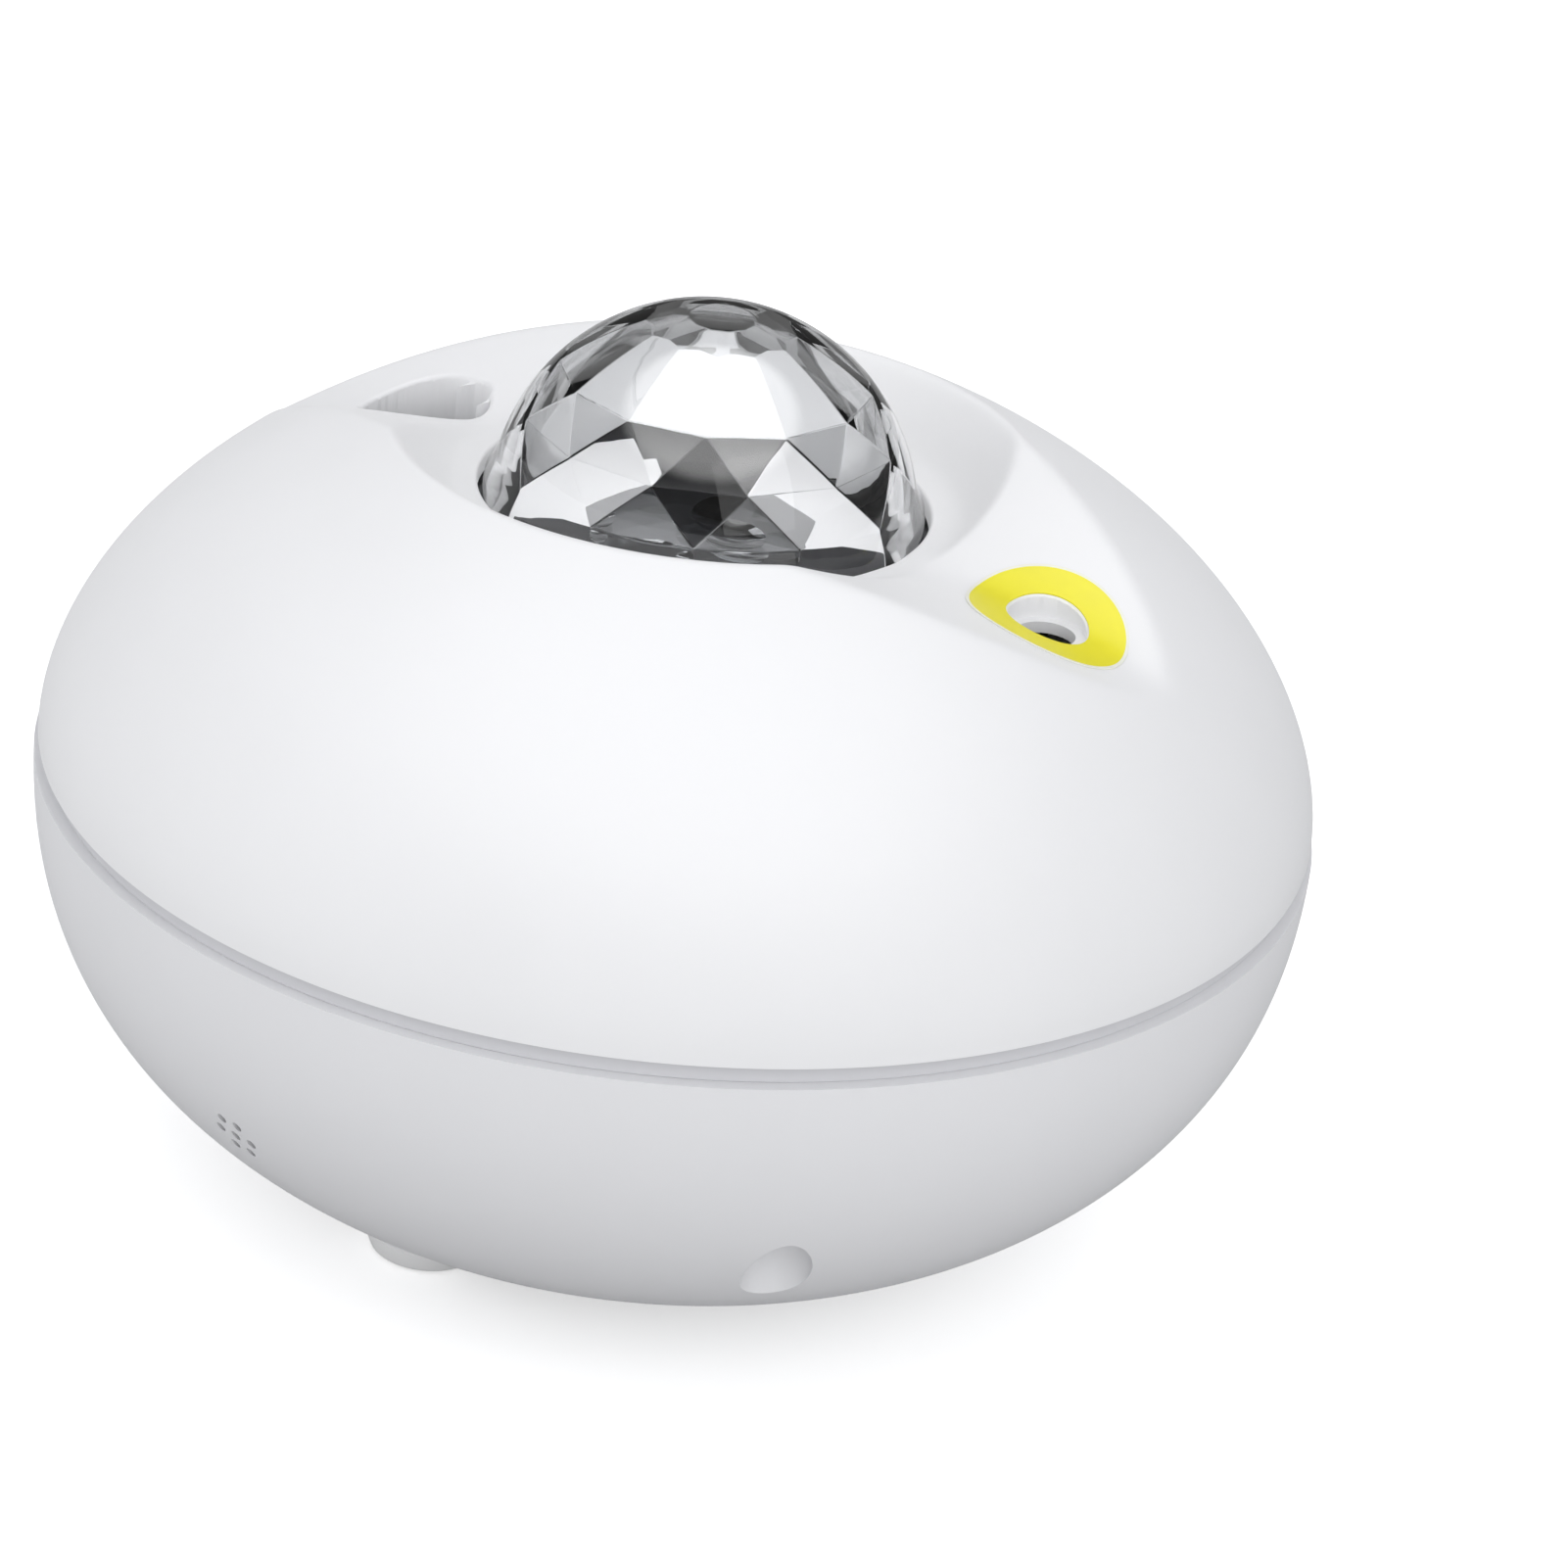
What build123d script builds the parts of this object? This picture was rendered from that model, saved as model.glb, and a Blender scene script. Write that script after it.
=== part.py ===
"""Star night light projector: an egg-shaped lamp in two moulded halves.

Millimetres, +Z up. Heights below are measured from the parting plane of the two
halves. Every piece is raised by LIP_HEIGHT when it is written, so that the
object stands on Z = 0 with its axis on the Z axis. The microphone side is -Y,
the power socket is on +Y and the round light aperture is on +X.
"""
from build123d import *
import math
import os

# Driving dimensions
BODY_RADIUS = 90.0        # lip of the lower half
LOWER_DEPTH = 64.6        # depth of the lower half's full curve
LOWER_POWER = 2.27        # squareness of the lower half's curve
TOP_RADIUS = 89.5         # rim of the upper half
CROWN = 57.0              # height of the upper half's full curve
TOP_POWER = 1.776         # squareness of the upper half's curve
SEAM_GAP = 2.67           # height of the recessed band between the halves
BASE_Z = -57.0            # flat underside
FEET_Z = -62.0            # what the feet stand on
LIP_HEIGHT = -FEET_Z
WALL = 2.2                # moulded wall
TOP_WALL = 2.4            # wall under the valley, measured straight down

# S-shaped valley across the top
FLOOR_Z = 41.0            # valley floor round the dome
CREASE_START = -7.0       # the valley's lowest line leaves the axis plane here
CREASE_SLANT = 0.261      # and slants by this much per millimetre outwards
CREASE_WIDTH = 1.65       # height over which its two sides blend
DROP_FROM = 30.0          # the floor drops beyond this distance
DROP_RATE = 0.0048
BACK_SLOPE = 0.319        # gentle side of the valley
BACK_ROUNDING = 7.56      # and how softly it leaves the floor
FRONT_SLOPE = 0.2627      # steeper side
FRONT_CURVE = 0.0022      # and how fast it steepens
SPREAD = 12.0             # each half of the valley closes short of the axis
SPREAD_RATE = 0.03
MEETING_WIDTH = 2.0       # height over which the two halves blend
GRID_STEP = 4.5           # spacing and reach of the points of the valley's surface
GRID_REACH = 90.0
POCKET_FOOT = 35.2        # round pocket for the dome: foot of its wall
POCKET_CREST = 43.6       # and its crest
POCKET_CREST_Z = 50.0
POCKET_ROUNDING = 4.0

# Dome
DOME_RADIUS = 29.6
DOME_CENTRE = 38.1
DOME_INSIDE = 26.6        # distance of the diamond facets inside from the centre
DOME_CAP = 27.03          # and of the flat at the top
DOME_HOLLOW = 28.4
DOME_OPENING = 31.2
FACETS = 12
FACET_TURN = 7.5
# Lean, stagger and share of DOME_INSIDE: top kites, shoulders, triangles, diamonds, foot
FACET_RINGS = ((15.0, 0.0, 1.0232), (34.0, 0.5, 0.9955), (52.3, 0.5, 1.0114),
               (62.25, 0.0, 1.0), (75.2, 0.5, 1.0025))
FLANGE_RADIUS = 34.5
FLANGE_Z = 36.3
FLANGE_TOP = 38.0
RETAINER_RING = 39.5      # screws of the plate that clamps the dome
RETAINER_ANGLES = (90.0, 210.0, 330.0)
RETAINER_BOSS = 3.0
RETAINER_PILOT = 0.95
RETAINER_Z = 33.8         # underside of that plate

# Round light aperture and its ring
APERTURE = (52.9, 8.8)
APERTURE_RADIUS = 5.4
APERTURE_LEDGE_Z = 34.6
BEAM_RADIUS = 4.0
CUP_RADIUS = 7.8
CUP_Z = 33.0
RING_RADIUS = 11.1
RING_THICKNESS = 0.3

# Eared opening of the second projector
MOON = (-47.6, -6.3)
MOON_RADIUS = 9.2
MOON_EAR_LENGTH = 19.8
MOON_EAR_WIDTH = 6.8
MOON_EAR_TURN = 69.2
MOON_COLLAR = 1.8         # wall round the opening
MOON_COLLAR_Z = 31.0
MOON_TUBE_RADIUS = 10.5

# Case screws in deep pockets
POCKET_RING = 80.2
POCKET_ANGLES = (37.0, 143.0, 217.0, 323.0)
POCKET_RADIUS = 4.5
POCKET_TUBE = 6.2
POCKET_TOP = -9.0
CASE_BOSS = 3.9
CASE_PILOT = 1.3
CASE_CLEARANCE = 1.5
BOSS_JOINT = -6.0

# Optics deck
DECK_Z = 22.0
DECK_THICKNESS = 2.5
DECK_RADIUS = 70.0
DECK_TOP = DECK_Z + DECK_THICKNESS
LEG_RING = 30.0           # legs that carry the main lamp
LEG_ANGLES = (90.0, 210.0, 330.0)
DECK_RING = 62.0
DECK_ANGLES = (60.0, 120.0, 240.0, 300.0)
DECK_BOSS = 3.8
DECK_PILOT = 1.2
DECK_CLEARANCE = 1.6
LEG_RADIUS = 3.2
LEG_PILOT = 1.1
LEG_Z = 8.0
COLLAR_RADIUS = 24.0
COLLAR_BORE = 22.0
COLLAR_TOP = 31.0
LEDGE_TOP = 27.8
RUNNING = 0.05            # radial clearance of a turning fit

# Gears, all of one module, in mesh at rest
MODULE = 1.0
PRESSURE = math.radians(25.0)
ADDENDUM = 0.8
DEDENDUM = 1.05
BACKLASH = 0.08
RIPPLE_TEETH = 60
PINION_TEETH = 12
GRATING_TEETH = 26
GEAR_Z = 28.0
GEAR_WIDTH = 3.5

# Electronics
BOARD_Z = -48.0
BOARD_SIZE = (90.0, 56.0, 1.6)
POST_X = 40.0
POST_Y = 23.0
POST_RADIUS = 3.2
POST_PILOT = 1.1
REAR_Z = -22.0            # height of the socket and the button
SOCKET_X = -9.0
BUTTON_X = 9.0
MIC_Z = -29.3
MIC_PITCH = 2.85
MIC_HOLE = 0.75

# Feet
FOOT_RING = 44.4
FOOT_RADIUS = 8.5
FOOT_ANGLES = (270.0, 30.0, 150.0)
STUB_Z = -58.8
FOOT_SOCKET = 4.0         # radius of the socket and of the foot's plug in it
FOOT_PLUG = 3.9


# ---------------------------------------------------------------- helpers

def polar(radius, degrees):
    """Plan position at a radius and an azimuth."""
    turn = math.radians(degrees)
    return radius * math.cos(turn), radius * math.sin(turn)


def rod(radius, low, high, place=(0.0, 0.0)):
    """Upright cylinder between two heights."""
    height = high - low
    return Pos(place[0], place[1], low + height / 2) * Cylinder(radius, height)


def tube(outer, inner, low, high, place=(0.0, 0.0)):
    """Upright tube between two heights."""
    return rod(outer, low, high, place) - rod(inner, low - 1, high + 1, place)


def block(x, y, z):
    """Box given by its three pairs of limits."""
    size = (x[1] - x[0], y[1] - y[0], z[1] - z[0])
    middle = (sum(x) / 2, sum(y) / 2, sum(z) / 2)
    return Pos(*middle) * Box(*size)


def rod_y(radius, low, high, x, z):
    """Cylinder along Y between two places."""
    length = high - low
    return Pos(x, low + length / 2, z) * Rot(90, 0, 0) * Cylinder(radius, length)


def screw(x, y, head_z, tip_z, shank, head, direction=1):
    """Pan-head screw with its shank along Z and a cross recess in its head."""
    height = head * 0.7
    head_far = head_z - direction * height
    low, high = sorted((head_z, head_far))
    body = rod(head, low, high, (x, y))
    low, high = sorted((head_z, tip_z))
    body += rod(shank, low, high, (x, y))
    slot_low, slot_high = sorted((head_far, head_far + direction * height * 0.5))
    for size in ((head * 1.1, head * 0.26), (head * 0.26, head * 1.1)):
        body -= block((x - size[0] / 2, x + size[0] / 2), (y - size[1] / 2, y + size[1] / 2),
                      (slot_low - 0.01, slot_high) if direction > 0 else (slot_low, slot_high + 0.01))
    return body


def group(shapes):
    """Separate solids that share one node."""
    return Compound(children=[s.solid() if s.solid() is not None else s for s in shapes])


def write(shape, name):
    """Raise a piece onto the floor plane and write it."""
    export_step(shape.moved(Location((0, 0, LIP_HEIGHT))), f"parts/{name}.step")


# ---------------------------------------------------------------- case curves

def curve_point(radius, depth, power, turn):
    """Point of a squared quarter ellipse, at a parameter angle."""
    side = radius * math.cos(turn) ** (2 / power)
    height = depth * math.sin(turn) ** (2 / power)
    return side, height


def inset_point(radius, depth, power, turn, wall):
    """The same point moved inwards by the wall, square to the curve."""
    side, height = curve_point(radius, depth, power, turn)
    slope_side = (side / radius) ** (power - 1) / radius
    slope_up = (height / depth) ** (power - 1) / depth
    length = math.hypot(slope_side, slope_up)
    return side - wall * slope_side / length, height - wall * slope_up / length


def case_curve(radius, depth, power, wall=0.0, steps=14):
    """Points of the case's profile from its rim to its crown."""
    turns = [math.pi / 2 * i / steps for i in range(steps + 1)]
    if wall == 0.0:
        return [curve_point(radius, depth, power, t) for t in turns]
    return [inset_point(radius, depth, power, t, wall) for t in turns]


def case_solid(curve, base, direction):
    """Solid of revolution under a profile, from the plane Z = base."""
    points = [(x, base + direction * z) for x, z in curve]
    points[0] = (points[0][0], base)
    points[-1] = (0.0, points[-1][1])
    rim = Spline(*points, tangents=((0, direction), (-1, 0)))
    outline = rim + Polyline(points[-1], (0.0, base), points[0])
    face = make_face(outline)
    return revolve(Plane.XZ * face, Axis.Z)


def lower_curve_solid(wall, floor):
    """Bowl of the lower half, cut flat at its floor."""
    curve = case_curve(BODY_RADIUS, LOWER_DEPTH, LOWER_POWER, wall)
    bowl = case_solid(curve, 0.0, -1)
    return bowl & block((-100, 100), (-100, 100), (floor, 10.0))


def upper_curve_solid(wall):
    """Full crown of the upper half, before the valley is cut."""
    curve = case_curve(TOP_RADIUS, CROWN, TOP_POWER, wall)
    return case_solid(curve, SEAM_GAP, 1)


# ---------------------------------------------------------------- valley

def smooth_min(a, b, width):
    """Lower of two heights, blended where they cross."""
    blend = max(width - abs(a - b), 0.0) / width
    return min(a, b) - blend * blend * width / 4


def half_valley(x, y):
    """Height of the half of the valley that runs out along +X."""
    across = y - (CREASE_START + CREASE_SLANT * x)
    back = BACK_SLOPE * (math.hypot(max(across, 0.0), BACK_ROUNDING) - BACK_ROUNDING)
    front = -FRONT_SLOPE * across + FRONT_CURVE * min(across, 0.0) ** 2
    rise = -smooth_min(-back, -front, CREASE_WIDTH)
    drop = DROP_RATE * max(0.0, x - DROP_FROM) ** 2
    close = SPREAD_RATE * max(0.0, SPREAD - x) ** 2
    return FLOOR_Z - drop + rise + close


def valley(x, y):
    """Height of the valley; its two halves are half a turn apart."""
    return smooth_min(half_valley(x, y), half_valley(-x, -y), MEETING_WIDTH)


def valley_cutter():
    """Everything above the valley: what is taken from the crown."""
    count = round(2 * GRID_REACH / GRID_STEP) + 1
    steps = [-GRID_REACH + GRID_STEP * i for i in range(count)]
    grid = [[(x, y, min(valley(x, y), GRID_REACH)) for y in steps] for x in steps]
    floor = Face.make_surface_from_array_of_points(grid, tol=0.1, min_deg=3, max_deg=3)
    return extrude(floor, amount=80.0, dir=(0, 0, 1))


def pocket_cutter():
    """Round pocket for the dome, with a sloping wall."""
    slope = (POCKET_CREST_Z - FLOOR_Z) / (POCKET_CREST - POCKET_FOOT)
    reach = 40.0
    top = FLOOR_Z + reach
    far = POCKET_FOOT + reach / slope
    outline = Polyline((0, FLOOR_Z), (POCKET_FOOT, FLOOR_Z), (far, top), (0, top), close=True)
    face = make_face(outline)
    foot = face.vertices().sort_by_distance((POCKET_FOOT, FLOOR_Z))[0]
    face = fillet(foot, POCKET_ROUNDING)
    return revolve(Plane.XZ * face, Axis.Z)


# ---------------------------------------------------------------- gears

def involute(angle):
    return math.tan(angle) - angle


def gear_face(teeth, first_tooth):
    """Spur gear outline with one tooth centred at first_tooth (degrees)."""
    pitch = MODULE * teeth / 2
    base = pitch * math.cos(PRESSURE)
    tip = pitch + ADDENDUM * MODULE
    root = pitch - DEDENDUM * MODULE
    half = math.pi / (2 * teeth) - BACKLASH / (2 * pitch)
    start = max(base, root)
    flank = []
    for i in range(5):
        radius = start + (tip - start) * i / 4
        angle = math.acos(min(1.0, base / radius))
        flank.append((radius, half + involute(PRESSURE) - involute(angle)))
    if root < base:
        flank.insert(0, (root, flank[0][1]))
    points = []
    for tooth in range(teeth):
        centre = math.radians(first_tooth) + 2 * math.pi * tooth / teeth
        for radius, away in flank:
            points.append((radius * math.cos(centre - away), radius * math.sin(centre - away)))
        for radius, away in reversed(flank):
            points.append((radius * math.cos(centre + away), radius * math.sin(centre + away)))
    return make_face(Polyline(*points, close=True))


def gear(teeth, first_tooth, low, high, place=(0.0, 0.0)):
    """Spur gear between two heights."""
    return extrude(Pos(place[0], place[1], low) * gear_face(teeth, first_tooth), high - low)


def pinion_place():
    """Centre of the pinion, in mesh with both gears, and the mesh directions."""
    reach = MODULE * (RIPPLE_TEETH + PINION_TEETH) / 2
    span = MODULE * (GRATING_TEETH + PINION_TEETH) / 2
    far = math.hypot(*APERTURE)
    turn = math.acos((reach ** 2 + far ** 2 - span ** 2) / (2 * reach * far))
    azimuth = math.atan2(APERTURE[1], APERTURE[0]) + turn
    place = (reach * math.cos(azimuth), reach * math.sin(azimuth))
    onward = math.atan2(APERTURE[1] - place[1], APERTURE[0] - place[0])
    return place, math.degrees(azimuth), math.degrees(onward)


PINION, TO_PINION, TO_GRATING = pinion_place()
PINION_FIRST = TO_PINION + 180.0 + 180.0 / PINION_TEETH
# Where the pinion's nearest tooth lies, seen along the second mesh
PINION_PHASE = (PINION_FIRST - TO_GRATING) % (360.0 / PINION_TEETH)
GRATING_GAP = TO_GRATING + 180.0 - PINION_PHASE * PINION_TEETH / GRATING_TEETH
GRATING_FIRST = GRATING_GAP + 180.0 / GRATING_TEETH


# ---------------------------------------------------------------- case

def moon_outline(grow):
    """Plan outline of the eared opening, grown all round."""
    ears = SlotOverall(MOON_EAR_LENGTH + 2 * grow, MOON_EAR_WIDTH + 2 * grow)
    circle = Circle(MOON_RADIUS + grow)
    return Pos(*MOON) * Rot(0, 0, MOON_EAR_TURN) * (circle + ears)


def upper_shell(crown):
    """Upper half: crown with the valley, its openings, cups and bosses."""
    hollow = upper_curve_solid(WALL) - CUTTER.moved(Location((0, 0, -TOP_WALL)))
    hollow -= POCKET.moved(Location((0, 0, -TOP_WALL)))
    shell = crown - hollow

    fittings = rod(CUP_RADIUS, CUP_Z, 60.0, APERTURE)
    fittings += extrude(Pos(0, 0, MOON_COLLAR_Z) * moon_outline(MOON_COLLAR), 30.0)
    for angle in DECK_ANGLES:
        fittings += rod(DECK_BOSS, DECK_TOP, 60.0, polar(DECK_RING, angle))
    for angle in RETAINER_ANGLES:
        fittings += rod(RETAINER_BOSS, FLANGE_Z, 60.0, polar(RETAINER_RING, angle))
    for angle in POCKET_ANGLES:
        fittings += rod(CASE_BOSS, SEAM_GAP, 50.0, polar(POCKET_RING, angle))
    shell += fittings & crown
    for angle in POCKET_ANGLES:
        place = polar(POCKET_RING, angle)
        shell += rod(CASE_BOSS, BOSS_JOINT, SEAM_GAP + 0.5, place)
        shell -= rod(CASE_PILOT, BOSS_JOINT - 1, 9.0, place)

    shell -= rod(DOME_OPENING, 20.0, 60.0)
    shell -= rod(FLANGE_RADIUS + 0.5, 20.0, FLANGE_TOP)
    shell -= rod(APERTURE_RADIUS, APERTURE_LEDGE_Z, 60.0, APERTURE)
    shell -= rod(BEAM_RADIUS, 20.0, 60.0, APERTURE)
    shell -= extrude(Pos(0, 0, 20.0) * moon_outline(0.0), 40.0)
    for angle in DECK_ANGLES:
        shell -= rod(DECK_PILOT, DECK_TOP - 1, DECK_TOP + 9.0, polar(DECK_RING, angle))
    for angle in RETAINER_ANGLES:
        shell -= rod(RETAINER_PILOT, FLANGE_Z - 1, FLANGE_Z + 5.5, polar(RETAINER_RING, angle))
    return shell


def lower_shell():
    """Lower half: bowl with screw pockets, posts, holes and foot stubs."""
    bowl = lower_curve_solid(0.0, BASE_Z)
    shell = bowl - lower_curve_solid(WALL, BASE_Z + TOP_WALL)
    for angle in POCKET_ANGLES:
        place = polar(POCKET_RING, angle)
        shell += rod(POCKET_TUBE, -60.0, BOSS_JOINT, place) & bowl
        shell -= rod(POCKET_RADIUS, -70.0, POCKET_TOP, place)
        shell -= rod(CASE_CLEARANCE, POCKET_TOP - 1, BOSS_JOINT + 1, place)
    for angle in FOOT_ANGLES:
        place = polar(FOOT_RING, angle)
        stub = rod(FOOT_RADIUS, STUB_Z, BASE_Z + 8.0, place)
        shell += stub - lower_curve_solid(WALL, BASE_Z + TOP_WALL)
        shell -= rod(FOOT_SOCKET, STUB_Z - 1, STUB_Z + 2.4, place)
    for x in (-POST_X, POST_X):
        for y in (-POST_Y, POST_Y):
            shell += rod(POST_RADIUS, BASE_Z + 1.0, BOARD_Z, (x, y))
            shell -= rod(POST_PILOT, BOARD_Z - 6.0, BOARD_Z + 1.0, (x, y))
    shell += microphone_seat() & bowl
    shell -= rod_y(4.9, -79.4, -60.0, 0.0, MIC_Z)
    for x, z in microphone_pattern():
        shell -= rod_y(MIC_HOLE, -95.0, -78.0, x, MIC_Z + z)
    shelf = block((-18, 18), (67.0, 90), (REAR_Z - 8.0, REAR_Z - 5.1)) & bowl
    shell += shelf
    shell -= rod_y(4.1, 78.0, 95.0, SOCKET_X, REAR_Z)
    shell -= rod_y(3.7, 78.0, 95.0, BUTTON_X, REAR_Z)
    shell -= block((BUTTON_X - 8.2, BUTTON_X + 8.2), (73.9, 75.7), (REAR_Z - 6.5, REAR_Z))
    cradle = block((-9, 9), (-88, -77), (-17, -12)) & bowl
    cradle -= block((-6.1, 6.1), (-80.3, -78.9), (-15, 0))
    return shell + cradle


def microphone_pattern():
    """One hole in the middle and six round it."""
    ring = [polar(MIC_PITCH, 60.0 * i) for i in range(6)]
    return [(0.0, 0.0)] + ring


def microphone_seat():
    """Socket inside the wall that holds the microphone."""
    return rod_y(6.3, -90.0, -73.0, 0.0, MIC_Z)


def seam_ring():
    """Recessed band between the halves, with a tongue into each."""
    ring = tube(88.3, 85.2, 0.0, SEAM_GAP)
    ring += tube(87.3, 85.2, -3.0, 0.5)
    return ring + tube(86.9, 85.2, SEAM_GAP - 0.5, 5.5)


def feet():
    """Three soft feet, each plugged into its stub."""
    shapes = []
    for angle in FOOT_ANGLES:
        place = polar(FOOT_RING, angle)
        pad = rod(FOOT_RADIUS, FEET_Z, STUB_Z, place)
        pad = fillet(pad.edges().sort_by(Axis.Z)[0], 1.0)
        shapes.append(pad + rod(FOOT_PLUG, STUB_Z - 0.5, STUB_Z + 2.3, place))
    return group(shapes)


# ---------------------------------------------------------------- dome

def dome_lens():
    """Clear dome, smooth outside and faceted inside, with a foot flange."""
    top = DOME_CENTRE + DOME_RADIUS
    rise = 6.4
    side = math.sqrt(DOME_RADIUS ** 2 - rise ** 2)
    turn = math.acos(rise / DOME_RADIUS) / 2
    middle = (DOME_RADIUS * math.sin(turn), DOME_CENTRE + DOME_RADIUS * math.cos(turn))
    foot = Polyline((0, FLANGE_Z), (FLANGE_RADIUS, FLANGE_Z), (FLANGE_RADIUS, FLANGE_TOP),
                    (30.6, FLANGE_TOP), (30.5, 40.8), (side, DOME_CENTRE + rise))
    cap = ThreePointArc((side, DOME_CENTRE + rise), middle, (0, top))
    face = make_face(foot + cap + Line((0, top), (0, FLANGE_Z)))
    return revolve(Plane.XZ * face, Axis.Z) - dome_hollow()


def dome_hollow():
    """Faceted space inside the dome, open at its foot."""
    space = rod(DOME_HOLLOW, FLANGE_Z - 1, DOME_CENTRE + DOME_CAP)
    for lean, stagger, share in FACET_RINGS:
        for i in range(FACETS):
            azimuth = FACET_TURN + (i + stagger) * 360.0 / FACETS
            normal = Vector(0, 0, 1).rotate(Axis.Y, lean).rotate(Axis.Z, azimuth)
            origin = Vector(0, 0, DOME_CENTRE) + normal * DOME_INSIDE * share
            space = split(space, bisect_by=Plane(origin=origin, z_dir=normal), keep=Keep.BOTTOM)
    return space


def dome_retainer():
    """Dark plate that clamps the dome's flange under the upper half."""
    plate = tube(42.5, 17.0, RETAINER_Z, FLANGE_Z)
    plate -= extrude(Pos(0, 0, 30.0) * moon_outline(2.3), 10.0)
    for angle in RETAINER_ANGLES:
        plate -= rod(1.2, 30.0, 40.0, polar(RETAINER_RING, angle))
    return plate


# ---------------------------------------------------------------- optics

def optics_deck():
    """Plate that carries the lamp, the drive and both projectors."""
    deck = rod(DECK_RADIUS, DECK_Z, DECK_TOP)
    deck += rod(COLLAR_RADIUS + 2.5, DECK_Z, LEDGE_TOP)
    deck += rod(COLLAR_RADIUS, DECK_Z, COLLAR_TOP)
    deck += rod(7.5, DECK_Z, LEDGE_TOP, APERTURE)
    for angle in LEG_ANGLES:
        deck += rod(LEG_RADIUS, LEG_Z, DECK_Z + 1, polar(LEG_RING, angle))
        deck -= rod(LEG_PILOT, LEG_Z - 1, 16.0, polar(LEG_RING, angle))
    deck -= rod(COLLAR_BORE, 0.0, 40.0)
    deck -= rod(5.2, 0.0, 40.0, APERTURE)
    deck -= rod(MOON_TUBE_RADIUS + 0.2, 0.0, 40.0, MOON)
    deck -= rod(1.9, 0.0, 40.0, PINION)
    for angle in DECK_ANGLES:
        deck -= rod(DECK_CLEARANCE, 0.0, 40.0, polar(DECK_RING, angle))
    for x, y in motor_screw_places():
        deck -= rod(0.9, 0.0, 40.0, (x, y))
    for x, y in laser_screw_places():
        deck -= rod(1.0, 20.0, 40.0, (x, y))
    for x, y in moon_screw_places():
        deck -= rod(1.0, 20.0, 40.0, (x, y))
    return deck


def motor_screw_places():
    return [(PINION[0], PINION[1] + side * 3.6) for side in (-1, 1)]


def laser_screw_places():
    return [(APERTURE[0], APERTURE[1] + side * 14.5) for side in (-1, 1)]


def moon_screw_places():
    return [(MOON[0], MOON[1] + side * 13.0) for side in (-1, 1)]


def ripple_gear():
    """Ring gear that turns on the deck's collar and carries the wavy lens."""
    ring = gear(RIPPLE_TEETH, TO_PINION, GEAR_Z, GEAR_Z + GEAR_WIDTH)
    ring -= rod(COLLAR_RADIUS + RUNNING, 0.0, 40.0)
    for i in range(8):
        ring -= rod(1.2, GEAR_Z + 1.5, 40.0, polar(26.6, 45.0 * i + 22.5))
    return ring


def ripple_lens():
    """Wavy lens disc on top of the ring gear."""
    low = GEAR_Z + GEAR_WIDTH
    disc = rod(28.0, low, low + 1.7)
    for ring, count in ((7.0, 5), (14.5, 10), (22.0, 15)):
        for i in range(count):
            x, y = polar(ring, 360.0 * i / count + ring)
            disc -= Pos(x, y, low + 1.7 + 6.4) * Sphere(7.0)
    return disc


def motor_pinion():
    pinion = gear(PINION_TEETH, PINION_FIRST, GEAR_Z - 0.1, GEAR_Z + GEAR_WIDTH + 0.1, PINION)
    return pinion - rod(1.5, 0.0, 40.0, PINION)


def motor_shaft():
    return rod(1.5, 10.0, GEAR_Z + GEAR_WIDTH + 0.4, PINION)


def gear_motor():
    """Small gear motor: gearbox on top of a flat-sided can."""
    x, y = PINION
    gearbox = block((x - 5, x + 5), (y - 6, y + 6), (12.5, DECK_Z))
    can = rod(6.0, -3.0, 12.5, PINION) & block((x - 5, x + 5), (y - 6, y + 6), (-3.0, 12.5))
    motor = gearbox + can + rod(2.4, -4.2, -3.0, PINION)
    motor -= rod(1.5 + RUNNING, 9.5, 40.0, PINION)
    for place in motor_screw_places():
        motor -= rod(0.7, DECK_Z - 5.0, 40.0, place)
    return motor


def grating_gear():
    """Small gear that turns on the laser holder's nose."""
    wheel = gear(GRATING_TEETH, GRATING_FIRST, GEAR_Z, GEAR_Z + GEAR_WIDTH, APERTURE)
    return wheel - rod(5.0 + RUNNING, 0.0, 40.0, APERTURE)


def grating_film():
    low = GEAR_Z + GEAR_WIDTH
    return rod(7.0, low, low + 0.4, APERTURE)


def laser_holder():
    """Holder under the deck; its nose is the small gear's axle."""
    x, y = APERTURE
    holder = rod(8.5, 8.0, DECK_Z, APERTURE) + rod(5.0, DECK_Z - 1, 31.2, APERTURE)
    holder += block((x - 4.5, x + 4.5), (y - 18.0, y + 18.0), (DECK_Z - 2.5, DECK_Z))
    holder -= rod(6.0, 0.0, 20.0, APERTURE)
    holder -= rod(3.4, 0.0, 40.0, APERTURE)
    for place in laser_screw_places():
        holder -= rod(1.3, 0.0, 40.0, place)
    return holder


def laser_module():
    """Brass barrel with a lens seat at its top."""
    barrel = rod(5.95, 0.0, 19.8, APERTURE)
    barrel -= rod(3.2, 16.0, 20.0, APERTURE)
    return barrel + rod(3.0, 16.0, 17.5, APERTURE)


def heat_sink():
    """Round base with straight fins below it."""
    sink = rod(34.0, 4.0, 8.0)
    fins = [block((-40, 40), (y - 0.9, y + 0.9), (-14, 4.5)) for y in range(-20, 21, 5)]
    for fin in fins:
        sink += fin & rod(24.0, -14.0, 5.0)
    x, y = PINION
    sink -= block((x - 7.5, x + 9), (y - 7.5, y + 7.5), (-20, 20))
    for angle in LEG_ANGLES:
        sink -= rod(1.3, -20.0, 20.0, polar(LEG_RING, angle))
    return sink


def led_board():
    return rod(20.0, 8.0, 9.6)


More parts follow.
